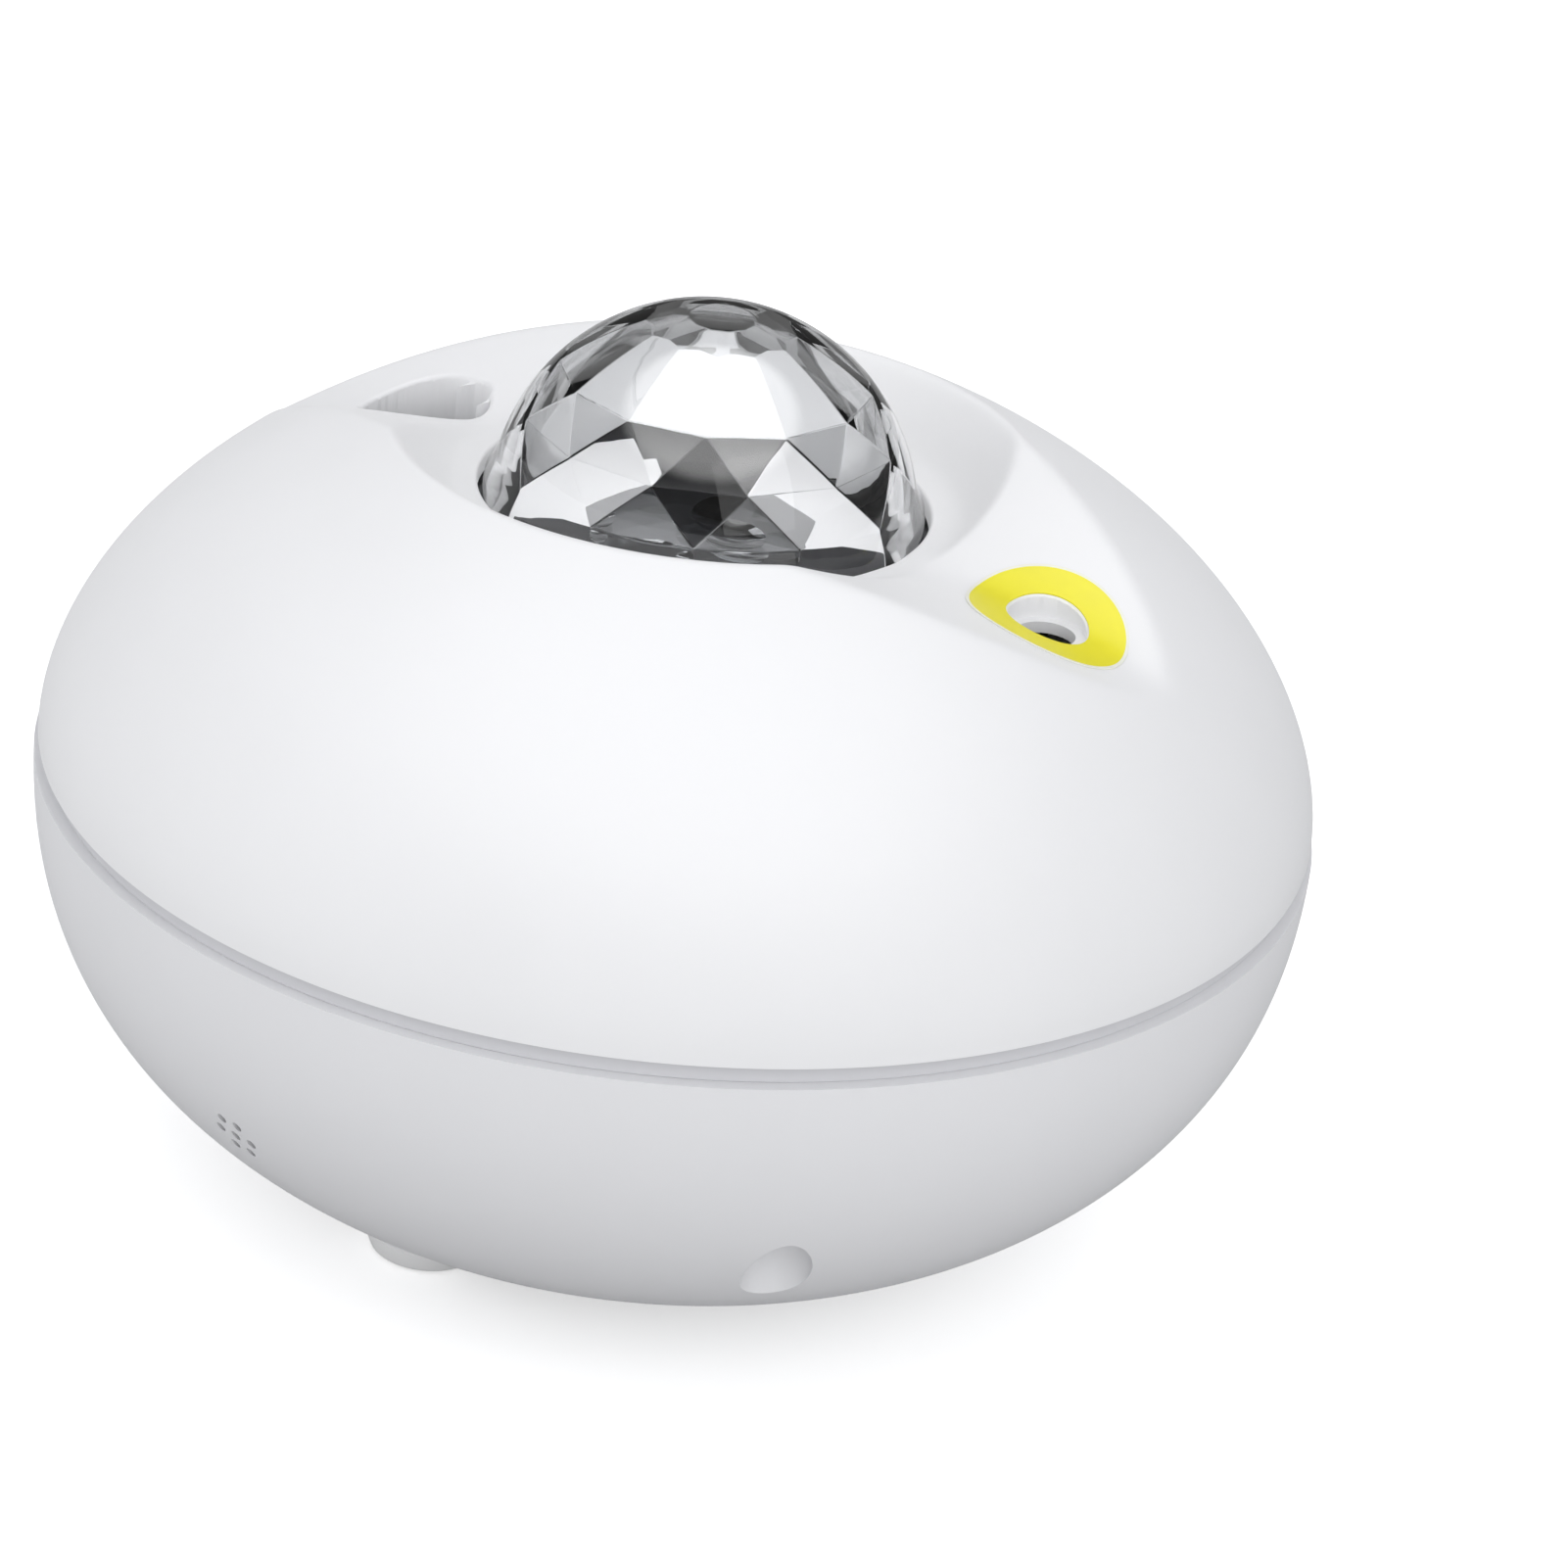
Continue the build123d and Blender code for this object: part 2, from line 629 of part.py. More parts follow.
def led_chips():
    """Four lamp chips on the board, each with a round clear cover."""
    shapes = []
    for i in range(4):
        x, y = polar(4.2, 45.0 + 90.0 * i)
        shapes.append(block((x - 1.75, x + 1.75), (y - 1.75, y + 1.75), (9.6, 10.4)))
    return group(shapes)


def led_holder():
    return tube(25.0, 23.0, 8.0, DECK_Z)


def collimator_lens():
    """Clear lens that gathers the light of the chips."""
    outline = Polyline((0, 13.0), (7.6, 13.0), (7.6, 11.0), (8.6, 11.0), (19.0, 19.4), (22.8, 19.4),
                       (22.8, 21.7), (0, 21.7), close=True)
    return revolve(Plane.XZ * make_face(outline), Axis.Z)


def moon_tube():
    """Tube of the second projector, flanged onto the deck."""
    barrel = rod(MOON_TUBE_RADIUS, -2.0, 30.0, MOON)
    barrel += rod(MOON_TUBE_RADIUS + 2.0, DECK_TOP, DECK_TOP + 2.0, MOON)
    x, y = MOON
    barrel += block((x - 3.5, x + 3.5), (y - 16.0, y + 16.0), (DECK_TOP, DECK_TOP + 2.0))
    barrel -= rod(9.0, 24.0, 40.0, MOON)
    barrel -= rod(7.6, -10.0, 40.0, MOON)
    for place in moon_screw_places():
        barrel -= rod(1.3, 20.0, 40.0, place)
    return barrel


def moon_lens():
    """Convex lens at the top of the second projector's tube."""
    edge = rod(8.9, 24.0, 29.0, MOON)
    ball = Pos(MOON[0], MOON[1], 29.0 - 18.0) * Sphere(18.0)
    return edge & ball


def moon_board():
    disc = rod(MOON_TUBE_RADIUS, -3.6, -2.0, MOON)
    x, y = MOON
    return disc + block((x - 1.7, x + 1.7), (y - 1.7, y + 1.7), (-2.1, -0.8))


# ---------------------------------------------------------------- electronics

def main_board():
    size_x, size_y, thick = BOARD_SIZE
    board = block((-size_x / 2, size_x / 2), (-size_y / 2, size_y / 2), (BOARD_Z, BOARD_Z + thick))
    for x in (-POST_X, POST_X):
        for y in (-POST_Y, POST_Y):
            board -= rod(1.4, -60.0, -40.0, (x, y))
    return board


def board_parts():
    """Control chip, drivers, inductor and capacitors."""
    top = BOARD_Z + BOARD_SIZE[2]
    shapes = [block((-6, 6), (-6, 6), (top, top + 2.0))]
    shapes += [block((x - 3, x + 3), (10, 15), (top, top + 1.8)) for x in (-18, -6, 6, 18)]
    shapes += [rod(4.0, top, top + 11.0, (x, -16.0)) for x in (-24.0, -13.0)]
    shapes.append(block((14, 24), (-20, -10), (top, top + 5.0)))
    return group(shapes)


def wire_sockets():
    """White plug sockets for the motor, lamps, laser and microphone."""
    top = BOARD_Z + BOARD_SIZE[2]
    shapes = []
    for x in (-30.0, -15.0, 0.0, 15.0, 30.0):
        case = block((x - 5, x + 5), (21.5, 27.0), (top, top + 6.0))
        shapes.append(case - block((x - 4.2, x + 4.2), (22.3, 28.0), (top + 0.8, top + 6.5)))
    return group(shapes)


def microphone():
    """Round capsule behind the seven holes."""
    capsule = rod_y(4.85, -79.3, -73.5, 0.0, MIC_Z)
    return capsule - rod_y(3.2, -80.0, -78.9, 0.0, MIC_Z)


def ir_receiver():
    """Remote-control sensor on a small upright board, behind the band."""
    board = block((-6, 6), (-80.2, -79.0), (-15, 4.5))
    sensor = block((-3, 3), (-83.4, -80.2), (-2.2, 4.5))
    eye = rod_y(2.3, -84.6, -83.0, 0.0, 1.3)
    return board + sensor + eye


def power_socket():
    """Round power inlet on the shelf at the back."""
    x = SOCKET_X
    body = block((x - 5.5, x + 5.5), (68.0, 80.0), (REAR_Z - 5.1, REAR_Z + 5.1))
    body += rod_y(3.9, 79.5, 85.4, x, REAR_Z)
    body -= rod_y(2.9, 75.0, 90.0, x, REAR_Z)
    return body + rod_y(1.0, 74.5, 84.8, x, REAR_Z)


def button_switch():
    """Push switch on its small upright board."""
    x = BUTTON_X
    board = block((x - 8, x + 8), (74.0, 75.6), (REAR_Z - 6.4, REAR_Z + 7))
    switch = block((x - 3, x + 3), (75.5, 78.2), (REAR_Z - 3, REAR_Z + 3))
    return board + switch + rod_y(1.7, 78.0, 78.6, x, REAR_Z)


def mode_button():
    """Push button with a flange behind the wall."""
    x = BUTTON_X
    cap = rod_y(3.5, 80.6, 87.0, x, REAR_Z)
    cap = fillet(cap.edges().sort_by(Axis.Y)[-1], 0.6)
    return cap + rod_y(4.8, 80.0, 81.4, x, REAR_Z) + rod_y(1.6, 79.7, 80.2, x, REAR_Z)


# ---------------------------------------------------------------- fasteners and trim

def case_screws():
    places = [polar(POCKET_RING, a) for a in POCKET_ANGLES]
    return group([screw(x, y, POCKET_TOP, 7.0, 1.25, 2.9) for x, y in places])


def deck_screws():
    places = [polar(DECK_RING, a) for a in DECK_ANGLES]
    return group([screw(x, y, DECK_Z, DECK_TOP + 8.0, 1.15, 2.8) for x, y in places])


def retainer_screws():
    places = [polar(RETAINER_RING, a) for a in RETAINER_ANGLES]
    return group([screw(x, y, RETAINER_Z, FLANGE_Z + 5.0, 0.9, 1.9) for x, y in places])


def heat_sink_screws():
    places = [polar(LEG_RING, a) for a in LEG_ANGLES]
    return group([screw(x, y, 4.0, 15.0, 1.05, 2.4) for x, y in places])


def optics_screws():
    """Screws of the laser holder, from below, and of the second projector's flange."""
    shapes = [screw(x, y, DECK_Z - 2.5, DECK_TOP - 0.3, 0.95, 1.9) for x, y in laser_screw_places()]
    for x, y in moon_screw_places():
        shapes.append(screw(x, y, DECK_TOP + 2.0, DECK_Z + 0.3, 0.95, 1.9, -1))
    return group(shapes)


def motor_screws():
    places = motor_screw_places()
    return group([screw(x, y, DECK_TOP, DECK_Z - 4.5, 0.65, 1.4, -1) for x, y in places])


def board_screws():
    top = BOARD_Z + BOARD_SIZE[2]
    places = [(x, y) for x in (-POST_X, POST_X) for y in (-POST_Y, POST_Y)]
    return group([screw(x, y, top, BOARD_Z - 5.5, 1.05, 2.4, -1) for x, y in places])


def aperture_ring(crown):
    """Plain thin ring laid on the valley round the aperture."""
    skin = crown.moved(Location((0, 0, RING_THICKNESS))) - crown
    return skin & tube(RING_RADIUS, APERTURE_RADIUS + 0.1, 30.0, 50.0, APERTURE)


# ---------------------------------------------------------------- build

os.makedirs("parts", exist_ok=True)

CUTTER = valley_cutter()
POCKET = pocket_cutter()
CROWN_SOLID = upper_curve_solid(0.0) - CUTTER - POCKET

write(upper_shell(CROWN_SOLID), "upper_shell")
write(aperture_ring(CROWN_SOLID), "aperture_ring")
for piece in (lower_shell, seam_ring, feet, dome_lens, dome_retainer, optics_deck, ripple_gear,
              ripple_lens, motor_pinion, motor_shaft, gear_motor, grating_gear, grating_film,
              laser_holder, laser_module, heat_sink, led_board, led_chips, led_holder,
              collimator_lens, moon_tube, moon_lens, moon_board, main_board, board_parts,
              wire_sockets, microphone, ir_receiver, power_socket, button_switch, mode_button,
              case_screws, deck_screws, retainer_screws, heat_sink_screws, optics_screws,
              motor_screws, board_screws):
    write(piece(), piece.__name__)
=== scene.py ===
"""Star night light projector: the looks of an egg-shaped lamp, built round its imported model.

Sizes in the dataclasses are millimetres, as on a mould maker's drawing, and heights count from
the parting plane between the two halves of the case. Each finished mesh is brought into the
frame's metres by ``Workshop.piece``. -Y is the microphone side, +Y the power socket's side, and
the round light opening lies on +X.
"""

from __future__ import annotations

import enum
import logging
import math
from collections.abc import Callable, Iterable, Sequence
from dataclasses import dataclass, field

import bmesh
import bpy
import numpy as np
from mathutils import Matrix, Vector


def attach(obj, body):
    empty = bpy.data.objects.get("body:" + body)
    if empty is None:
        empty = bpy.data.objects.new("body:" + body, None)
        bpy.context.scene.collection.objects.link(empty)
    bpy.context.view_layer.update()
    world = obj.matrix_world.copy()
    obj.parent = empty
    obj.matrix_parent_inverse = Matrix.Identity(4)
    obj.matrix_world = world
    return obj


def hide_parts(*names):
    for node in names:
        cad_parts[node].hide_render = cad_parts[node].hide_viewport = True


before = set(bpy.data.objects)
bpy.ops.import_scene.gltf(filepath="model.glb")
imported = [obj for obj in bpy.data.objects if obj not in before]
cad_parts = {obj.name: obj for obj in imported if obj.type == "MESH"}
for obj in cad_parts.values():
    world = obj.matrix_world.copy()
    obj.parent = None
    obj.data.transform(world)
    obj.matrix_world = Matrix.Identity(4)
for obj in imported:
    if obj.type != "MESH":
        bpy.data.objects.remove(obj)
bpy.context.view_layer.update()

MM = 0.001
LIP_HEIGHT = 62.0          # parting plane above the table
LOG = logging.getLogger("star_projector")

Point = tuple[float, float]
Colour = tuple[float, float, float]


class Body(enum.Enum):
    """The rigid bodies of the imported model."""

    HOUSING = "housing"
    RIPPLE = "ripple_rotor"
    PINION = "pinion_rotor"
    GRATING = "grating_rotor"
    BUTTON = "button"


# ---------------------------------------------------------------- shape of the case


@dataclass(frozen=True)
class CaseCurve:
    """Squared ellipse that a half of the case follows, in its radial section."""

    radius: float
    depth: float
    power: float
    start: float
    direction: int

    def points(self, wall: float, steps: int) -> list[Point]:
        """Section from the rim to the axis.

        Args:
            wall: how far inside the outer skin the section lies.
            steps: number of stretches.

        Returns:
            Radius and height of each point.
        """
        found = []
        for i in range(steps + 1):
            turn = math.pi / 2 * i / steps
            side = self.radius * math.cos(turn) ** (2 / self.power)
            rise = self.depth * math.sin(turn) ** (2 / self.power)
            out = (side / self.radius) ** (self.power - 1) / self.radius
            up = (rise / self.depth) ** (self.power - 1) / self.depth
            length = math.hypot(out, up)
            height = rise - wall * up / length
            found.append((side - wall * out / length, self.start + self.direction * height))
        return found

    def height(self, radius: np.ndarray) -> np.ndarray:
        """Height of the outer skin at a distance from the axis."""
        share = np.clip(1 - (radius / self.radius) ** self.power, 0, 1)
        return self.start + self.direction * self.depth * share ** (1 / self.power)


UPPER_CURVE = CaseCurve(radius=89.5, depth=57.0, power=1.776, start=2.67, direction=1)
LOWER_CURVE = CaseCurve(radius=90.0, depth=64.6, power=2.27, start=0.0, direction=-1)


@dataclass(frozen=True)
class ValleyForm:
    """S-shaped valley across the top, with a round pocket for the dome in its middle."""

    floor: float = 41.0
    crease_start: float = -7.0      # Y of the floor's crease at the axis
    crease_slant: float = 0.261     # the crease's run along Y for each millimetre along X
    crease_width: float = 1.65      # blend between the crease's two sides
    drop_from: float = 30.0         # where the floor starts to sink towards the rim
    drop_rate: float = 0.0048
    back_slope: float = 0.319       # side behind the crease
    back_rounding: float = 7.56
    front_slope: float = 0.2627     # side in front of the crease
    front_curve: float = 0.0022
    spread: float = 12.0            # where a half starts to close towards the other half
    spread_rate: float = 0.03
    meeting: float = 2.0            # blend between the two halves
    pocket_foot: float = 35.2
    pocket_slope: float = 9.0 / 8.4
    pocket_rounding: float = 1.6
    pocket_meeting: float = 0.8     # blend between the pocket's wall and the valley
    crest_width: float = 2.2        # width of the rounded crests, within the two blends below
    least_blend: float = 0.3
    most_blend: float = 4.0
    slope_step: float = 0.05        # distance over which a slope is measured

    def half(self, x: np.ndarray, y: np.ndarray) -> np.ndarray:
        """Height of the half that runs out along +X.

        Args:
            x: plan positions along X.
            y: plan positions along Y.

        Returns:
            The height of each point.
        """
        across = y - (self.crease_start + self.crease_slant * x)
        back = self.back_slope * (np.hypot(np.maximum(across, 0.0), self.back_rounding)
                                  - self.back_rounding)
        front = -self.front_slope * across + self.front_curve * np.minimum(across, 0.0) ** 2
        rise = -smooth_min(-back, -front, np.full_like(back, self.crease_width))
        drop = self.drop_rate * np.maximum(0.0, x - self.drop_from) ** 2
        close = self.spread_rate * np.maximum(0.0, self.spread - x) ** 2
        return self.floor - drop + rise + close

    def hollow(self, x: np.ndarray, y: np.ndarray) -> np.ndarray:
        """Height of the valley and the pocket, without the crown that they are cut into.

        Args:
            x: plan positions along X.
            y: plan positions along Y.

        Returns:
            The height of each point.
        """
        one, other = self.half(x, y), self.half(-x, -y)
        valley = smooth_min(one, other, np.full_like(one, self.meeting))
        out = np.hypot(x, y) - self.pocket_foot
        pocket = self.floor + self.pocket_slope / 2 * (out + np.hypot(out, self.pocket_rounding))
        return smooth_min(valley, pocket, np.full_like(valley, self.pocket_meeting))

    def skin(self, x: np.ndarray, y: np.ndarray, inset: np.ndarray,
             crown: np.ndarray) -> np.ndarray:
        """Height of the case's top.

        Args:
            x: plan positions along X.
            y: plan positions along Y.
            inset: how far below the outer skin each point lies.
            crown: height of the uncut crown at each point.

        Returns:
            The height of each point, with the crests between crown and valley rounded.
        """
        crown_x, crown_y = self._slopes(lambda a, b: UPPER_CURVE.height(np.hypot(a, b)), x, y)
        cut_x, cut_y = self._slopes(self.hollow, x, y)
        blend = self.crest_width / 2 * np.hypot(crown_x - cut_x, crown_y - cut_y)
        return smooth_min(crown, self.hollow(x, y) - inset,
                          np.clip(blend, self.least_blend, self.most_blend))

    def _slopes(self, heights: Callable[[np.ndarray, np.ndarray], np.ndarray], x: np.ndarray,
                y: np.ndarray) -> tuple[np.ndarray, np.ndarray]:
        """Slopes of a surface.

        Args:
            heights: gives the surface's heights at plan positions.
            x: plan positions along X.
            y: plan positions along Y.

        Returns:
            The slope along X and the slope along Y at each point.
        """
        step = self.slope_step
        return ((heights(x + step, y) - heights(x - step, y)) / (2 * step),
                (heights(x, y + step) - heights(x, y - step)) / (2 * step))


def smooth_min(a: np.ndarray, b: np.ndarray, width: np.ndarray) -> np.ndarray:
    """Lower of two heights, blended over ``width`` where they cross."""
    share = np.maximum(width - np.abs(a - b), 0.0) / width
    return np.minimum(a, b) - share * share * width / 4


VALLEY = ValleyForm()


def polar(radius: float, degrees: float) -> Point:
    """Plan position at a radius and an azimuth."""
    turn = math.radians(degrees)
    return radius * math.cos(turn), radius * math.sin(turn)


# ---------------------------------------------------------------- mesh workshop


class Workshop:
    """Makes closed meshes with bmesh operators and turns them into pieces of the object."""

    @staticmethod
    def lathe(outline: Sequence[Point], steps: int, closed: bool = True,
              centre: Point = (0.0, 0.0)) -> bmesh.types.BMesh:
        """Spins a section about an upright axis.

        Args:
            outline: radius and height of each corner, in order.
            steps: number of stretches round the axis.
            closed: whether the last corner joins the first.
            centre: plan position of the axis.

        Returns:
            A mesh whose faces point outwards.
        """
        mesh = bmesh.new()
        verts = [mesh.verts.new((centre[0] + r, centre[1], z)) for r, z in outline]
        pairs = list(zip(verts, verts[1:]))
        if closed:
            pairs.append((verts[-1], verts[0]))
        edges = [mesh.edges.new(pair) for pair in pairs]
        bmesh.ops.spin(mesh, geom=verts + edges, cent=(centre[0], centre[1], 0), axis=(0, 0, 1),
                       angle=2 * math.pi, steps=steps, use_merge=True)
        bmesh.ops.remove_doubles(mesh, verts=mesh.verts, dist=1e-4)
        bmesh.ops.recalc_face_normals(mesh, faces=mesh.faces)
        return mesh

    @staticmethod
    def prism(outline: Sequence[Point], low: float, high: float) -> bmesh.types.BMesh:
        """Upright prism over a plan outline.

        Args:
            outline: the outline's corners, in order.
            low: height of its foot.
            high: height of its top.

        Returns:
            A closed mesh whose faces point outwards.
        """
        mesh = bmesh.new()
        face = mesh.faces.new([mesh.verts.new((x, y, low)) for x, y in outline])
        made = bmesh.ops.extrude_face_region(mesh, geom=[face])
        rising = [v for v in made["geom"] if isinstance(v, bmesh.types.BMVert)]
        bmesh.ops.translate(mesh, verts=rising, vec=(0, 0, high - low))
        bmesh.ops.recalc_face_normals(mesh, faces=mesh.faces)
        return mesh

    @staticmethod
    def rod(radius: float, low: float, high: float, centre: Point,
            steps: int = 64) -> bmesh.types.BMesh:
        """Upright cylinder.

        Args:
            radius: the cylinder's radius.
            low: height of its foot.
            high: height of its top.
            centre: plan position of its axis.
            steps: number of sides.

        Returns:
            A closed mesh.
        """
        mesh = bmesh.new()
        bmesh.ops.create_cone(mesh, cap_ends=True, segments=steps, radius1=radius,
                              radius2=radius, depth=high - low)
        bmesh.ops.translate(mesh, verts=mesh.verts, vec=(*centre, (low + high) / 2))
        return mesh

    @staticmethod
    def rod_y(radius: float, near: float, far: float, centre: Point,
              steps: int = 48) -> bmesh.types.BMesh:
        """Cylinder along Y.

        Args:
            radius: the cylinder's radius.
            near: where it starts on Y.
            far: where it ends on Y.
            centre: X and height of its axis.
            steps: number of sides.

        Returns:
            A closed mesh.
        """
        mesh = bmesh.new()
        bmesh.ops.create_cone(mesh, cap_ends=True, segments=steps, radius1=radius,
                              radius2=radius, depth=far - near)
        bmesh.ops.rotate(mesh, verts=mesh.verts, matrix=Matrix.Rotation(math.pi / 2, 3, "X"))
        bmesh.ops.translate(mesh, verts=mesh.verts, vec=(centre[0], (near + far) / 2, centre[1]))
        return mesh

    @staticmethod
    def solid(mesh: bmesh.types.BMesh, name: str) -> bpy.types.Object:
        """Turns a mesh into an object of the scene.

        Args:
            mesh: the mesh; it is used up.
            name: the object's name.

        Returns:
            The new object, at the origin.
        """
        data = bpy.data.meshes.new(name)
        mesh.to_mesh(data)
        mesh.free()
        made = bpy.data.objects.new(name, data)
        bpy.context.scene.collection.objects.link(made)
        return made

    @staticmethod
    def joined(parts: Iterable[bmesh.types.BMesh]) -> bmesh.types.BMesh:
        """Puts separate meshes together in one.

        Args:
            parts: the meshes; they are used up.

        Returns:
            A mesh that holds them all.
        """
        whole = bmesh.new()
        for part in parts:
            data = bpy.data.meshes.new("part")
            part.to_mesh(data)
            part.free()
            whole.from_mesh(data)
            bpy.data.meshes.remove(data)
        return whole

    @classmethod
    def carve(cls, mesh: bmesh.types.BMesh, tools: Iterable[bmesh.types.BMesh],
              operation: str = "DIFFERENCE") -> bmesh.types.BMesh:
        """Cuts other closed meshes out of a closed mesh, or joins them to it.

        Args:
            mesh: what is worked on; it is used up.
            tools: closed meshes; they are used up.
            operation: a Boolean modifier's operation.

        Returns:
            The worked mesh.
        """
        work = cls.solid(mesh, "work")
        spent = [work]
        for tool in tools:
            cutter = cls.solid(tool, "cutter")
            spent.append(cutter)
            step = work.modifiers.new("carve", "BOOLEAN")
            step.operation = operation
            step.solver = "EXACT"
            step.object = cutter
        bpy.context.view_layer.update()
        shaped = work.evaluated_get(bpy.context.evaluated_depsgraph_get())
        result = bmesh.new()
        result.from_mesh(shaped.to_mesh())
        shaped.to_mesh_clear()
        for thing in spent:
            data = thing.data
            bpy.data.objects.remove(thing)
            bpy.data.meshes.remove(data)
        return result

    @classmethod
    def piece(cls, mesh: bmesh.types.BMesh, name: str, finish: bpy.types.Material, slot: str,
              body: Body = Body.HOUSING, stands_for: Sequence[str] = (),
              crease: float = 35.0) -> bpy.types.Object:
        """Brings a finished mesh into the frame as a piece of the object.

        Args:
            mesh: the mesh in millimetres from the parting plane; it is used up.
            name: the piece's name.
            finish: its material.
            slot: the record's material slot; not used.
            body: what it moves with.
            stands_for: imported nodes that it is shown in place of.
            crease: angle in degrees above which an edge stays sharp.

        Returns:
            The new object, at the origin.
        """
        bmesh.ops.translate(mesh, verts=mesh.verts, vec=(0, 0, LIP_HEIGHT))
        bmesh.ops.scale(mesh, verts=mesh.verts, vec=(MM, MM, MM))
        sharp = math.radians(crease)
        for edge in mesh.edges:
            edge.smooth = not edge.is_manifold or edge.calc_face_angle(0.0) < sharp
        for face in mesh.faces:
            face.smooth = True
        made = cls.solid(mesh, name)
        made.data.materials.append(finish)
        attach(made, body.value)
        if stands_for:
            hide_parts(*stands_for)
        LOG.info("%s: %d faces", name, len(made.data.polygons))
        return made


# ---------------------------------------------------------------- shader groups


class Nodes:
    """Thin layer over a node tree, for short material code."""

    def __init__(self, tree: bpy.types.NodeTree) -> None:
        """Keeps the tree that nodes are added to."""
        self.tree = tree

    def add(self, kind: str, **values: object) -> bpy.types.Node:
        """Adds a node and sets its properties and inputs.

        Args:
            kind: the node's type name.
            **values: property names, or input names with blanks written as underscores.

        Returns:
            The new node.
        """
        node = self.tree.nodes.new(kind)
        for name, value in values.items():
            if hasattr(node, name):
                setattr(node, name, value)
            else:
                node.inputs[name.replace("_", " ")].default_value = value
        return node

    def link(self, source: bpy.types.NodeSocket, target: bpy.types.NodeSocket) -> None:
        """Joins two sockets."""
        self.tree.links.new(source, target)

    def maths(self, operation: str, first: bpy.types.NodeSocket | float,
              second: bpy.types.NodeSocket | float = 0.0) -> bpy.types.NodeSocket:
        """Adds a Math node.

        Args:
            operation: what it works out.
            first: its first value, or the socket that feeds it.
            second: its second value, or the socket that feeds it.

        Returns:
            The node's output.
        """
        node = self.tree.nodes.new("ShaderNodeMath")
        node.operation = operation
        for socket, value in zip(node.inputs, (first, second)):
            if isinstance(value, bpy.types.NodeSocket):
                self.link(value, socket)
            else:
                socket.default_value = value
        return node.outputs[0]


class ShaderGroups:
    """Effects that several finishes share, each built once as a node group."""

    def __init__(self) -> None:
        """Builds the groups."""
        self.grain = self._grain()
        self.brushed = self._brushed()

    @staticmethod
    def _group(name: str, inputs: dict[str, float], outputs: Sequence[str]
               ) -> tuple[bpy.types.NodeTree, Nodes, bpy.types.Node, bpy.types.Node]:
        """Makes an empty group with a vector input and other sockets.

        Args:
            name: the group's name.
            inputs: names and plain values of the number inputs.
            outputs: names of the number outputs.

        Returns:
            The group's tree, its nodes, its input node and its output node.
        """
        tree = bpy.data.node_groups.new(name, "ShaderNodeTree")
        face = tree.interface
        face.new_socket("Vector", in_out="INPUT", socket_type="NodeSocketVector")
        for label, value in inputs.items():
            socket = face.new_socket(label, in_out="INPUT", socket_type="NodeSocketFloat")
            socket.default_value = value
        for label in outputs:
            face.new_socket(label, in_out="OUTPUT", socket_type="NodeSocketFloat")
        nodes = Nodes(tree)
        return tree, nodes, nodes.add("NodeGroupInput"), nodes.add("NodeGroupOutput")

    @classmethod
    def _grain(cls) -> bpy.types.NodeTree:
        """Fine spark-eroded mould texture.

        Returns:
            A group that puts out a height, a slow mottle and a speck mask.
        """
        tree, nodes, source, result = cls._group(
            "mould_grain", {"Fine Scale": 1500.0, "Mottle Scale": 18.0, "Speck Size": 0.02},
            ("Height", "Mottle", "Specks"))
        fine = nodes.add("ShaderNodeTexNoise", Detail=3.0, Roughness=0.55)
        pits = nodes.add("ShaderNodeTexVoronoi", feature="SMOOTH_F1")
        mottle = nodes.add("ShaderNodeTexNoise", Detail=4.0, Roughness=0.6)
        specks = nodes.add("ShaderNodeTexVoronoi", feature="F1", Scale=140.0)
        for node in (fine, pits, mottle, specks):
            nodes.link(source.outputs["Vector"], node.inputs["Vector"])
        nodes.link(source.outputs["Fine Scale"], fine.inputs["Scale"])
        nodes.link(nodes.maths("MULTIPLY", source.outputs["Fine Scale"], 0.8),
                   pits.inputs["Scale"])
        nodes.link(source.outputs["Mottle Scale"], mottle.inputs["Scale"])
        height = nodes.maths("ADD", nodes.maths("MULTIPLY", fine.outputs["Fac"], 0.6),
                             nodes.maths("MULTIPLY", pits.outputs["Distance"], 0.5))
        nodes.link(height, result.inputs["Height"])
        nodes.link(mottle.outputs["Fac"], result.inputs["Mottle"])
        nodes.link(nodes.maths("LESS_THAN", specks.outputs["Distance"],
                               source.outputs["Speck Size"]), result.inputs["Specks"])
        return tree

    @classmethod
    def _brushed(cls) -> bpy.types.NodeTree:
        """Straight brush lines.

        Returns:
            A group that puts out a height and a streak mask.
        """
        tree, nodes, source, result = cls._group(
            "brush_lines", {"Line Scale": 900.0}, ("Height", "Streaks"))
        stretch = nodes.add("ShaderNodeMapping")
        stretch.inputs["Scale"].default_value = (1.0, 0.03, 0.03)
        lines = nodes.add("ShaderNodeTexNoise", Detail=5.0, Roughness=0.7)
        nodes.link(source.outputs["Vector"], stretch.inputs["Vector"])
        nodes.link(stretch.outputs["Vector"], lines.inputs["Vector"])
        nodes.link(source.outputs["Line Scale"], lines.inputs["Scale"])
        nodes.link(lines.outputs["Fac"], result.inputs["Height"])
        nodes.link(lines.outputs["Fac"], result.inputs["Streaks"])
        return tree


# ---------------------------------------------------------------- finishes


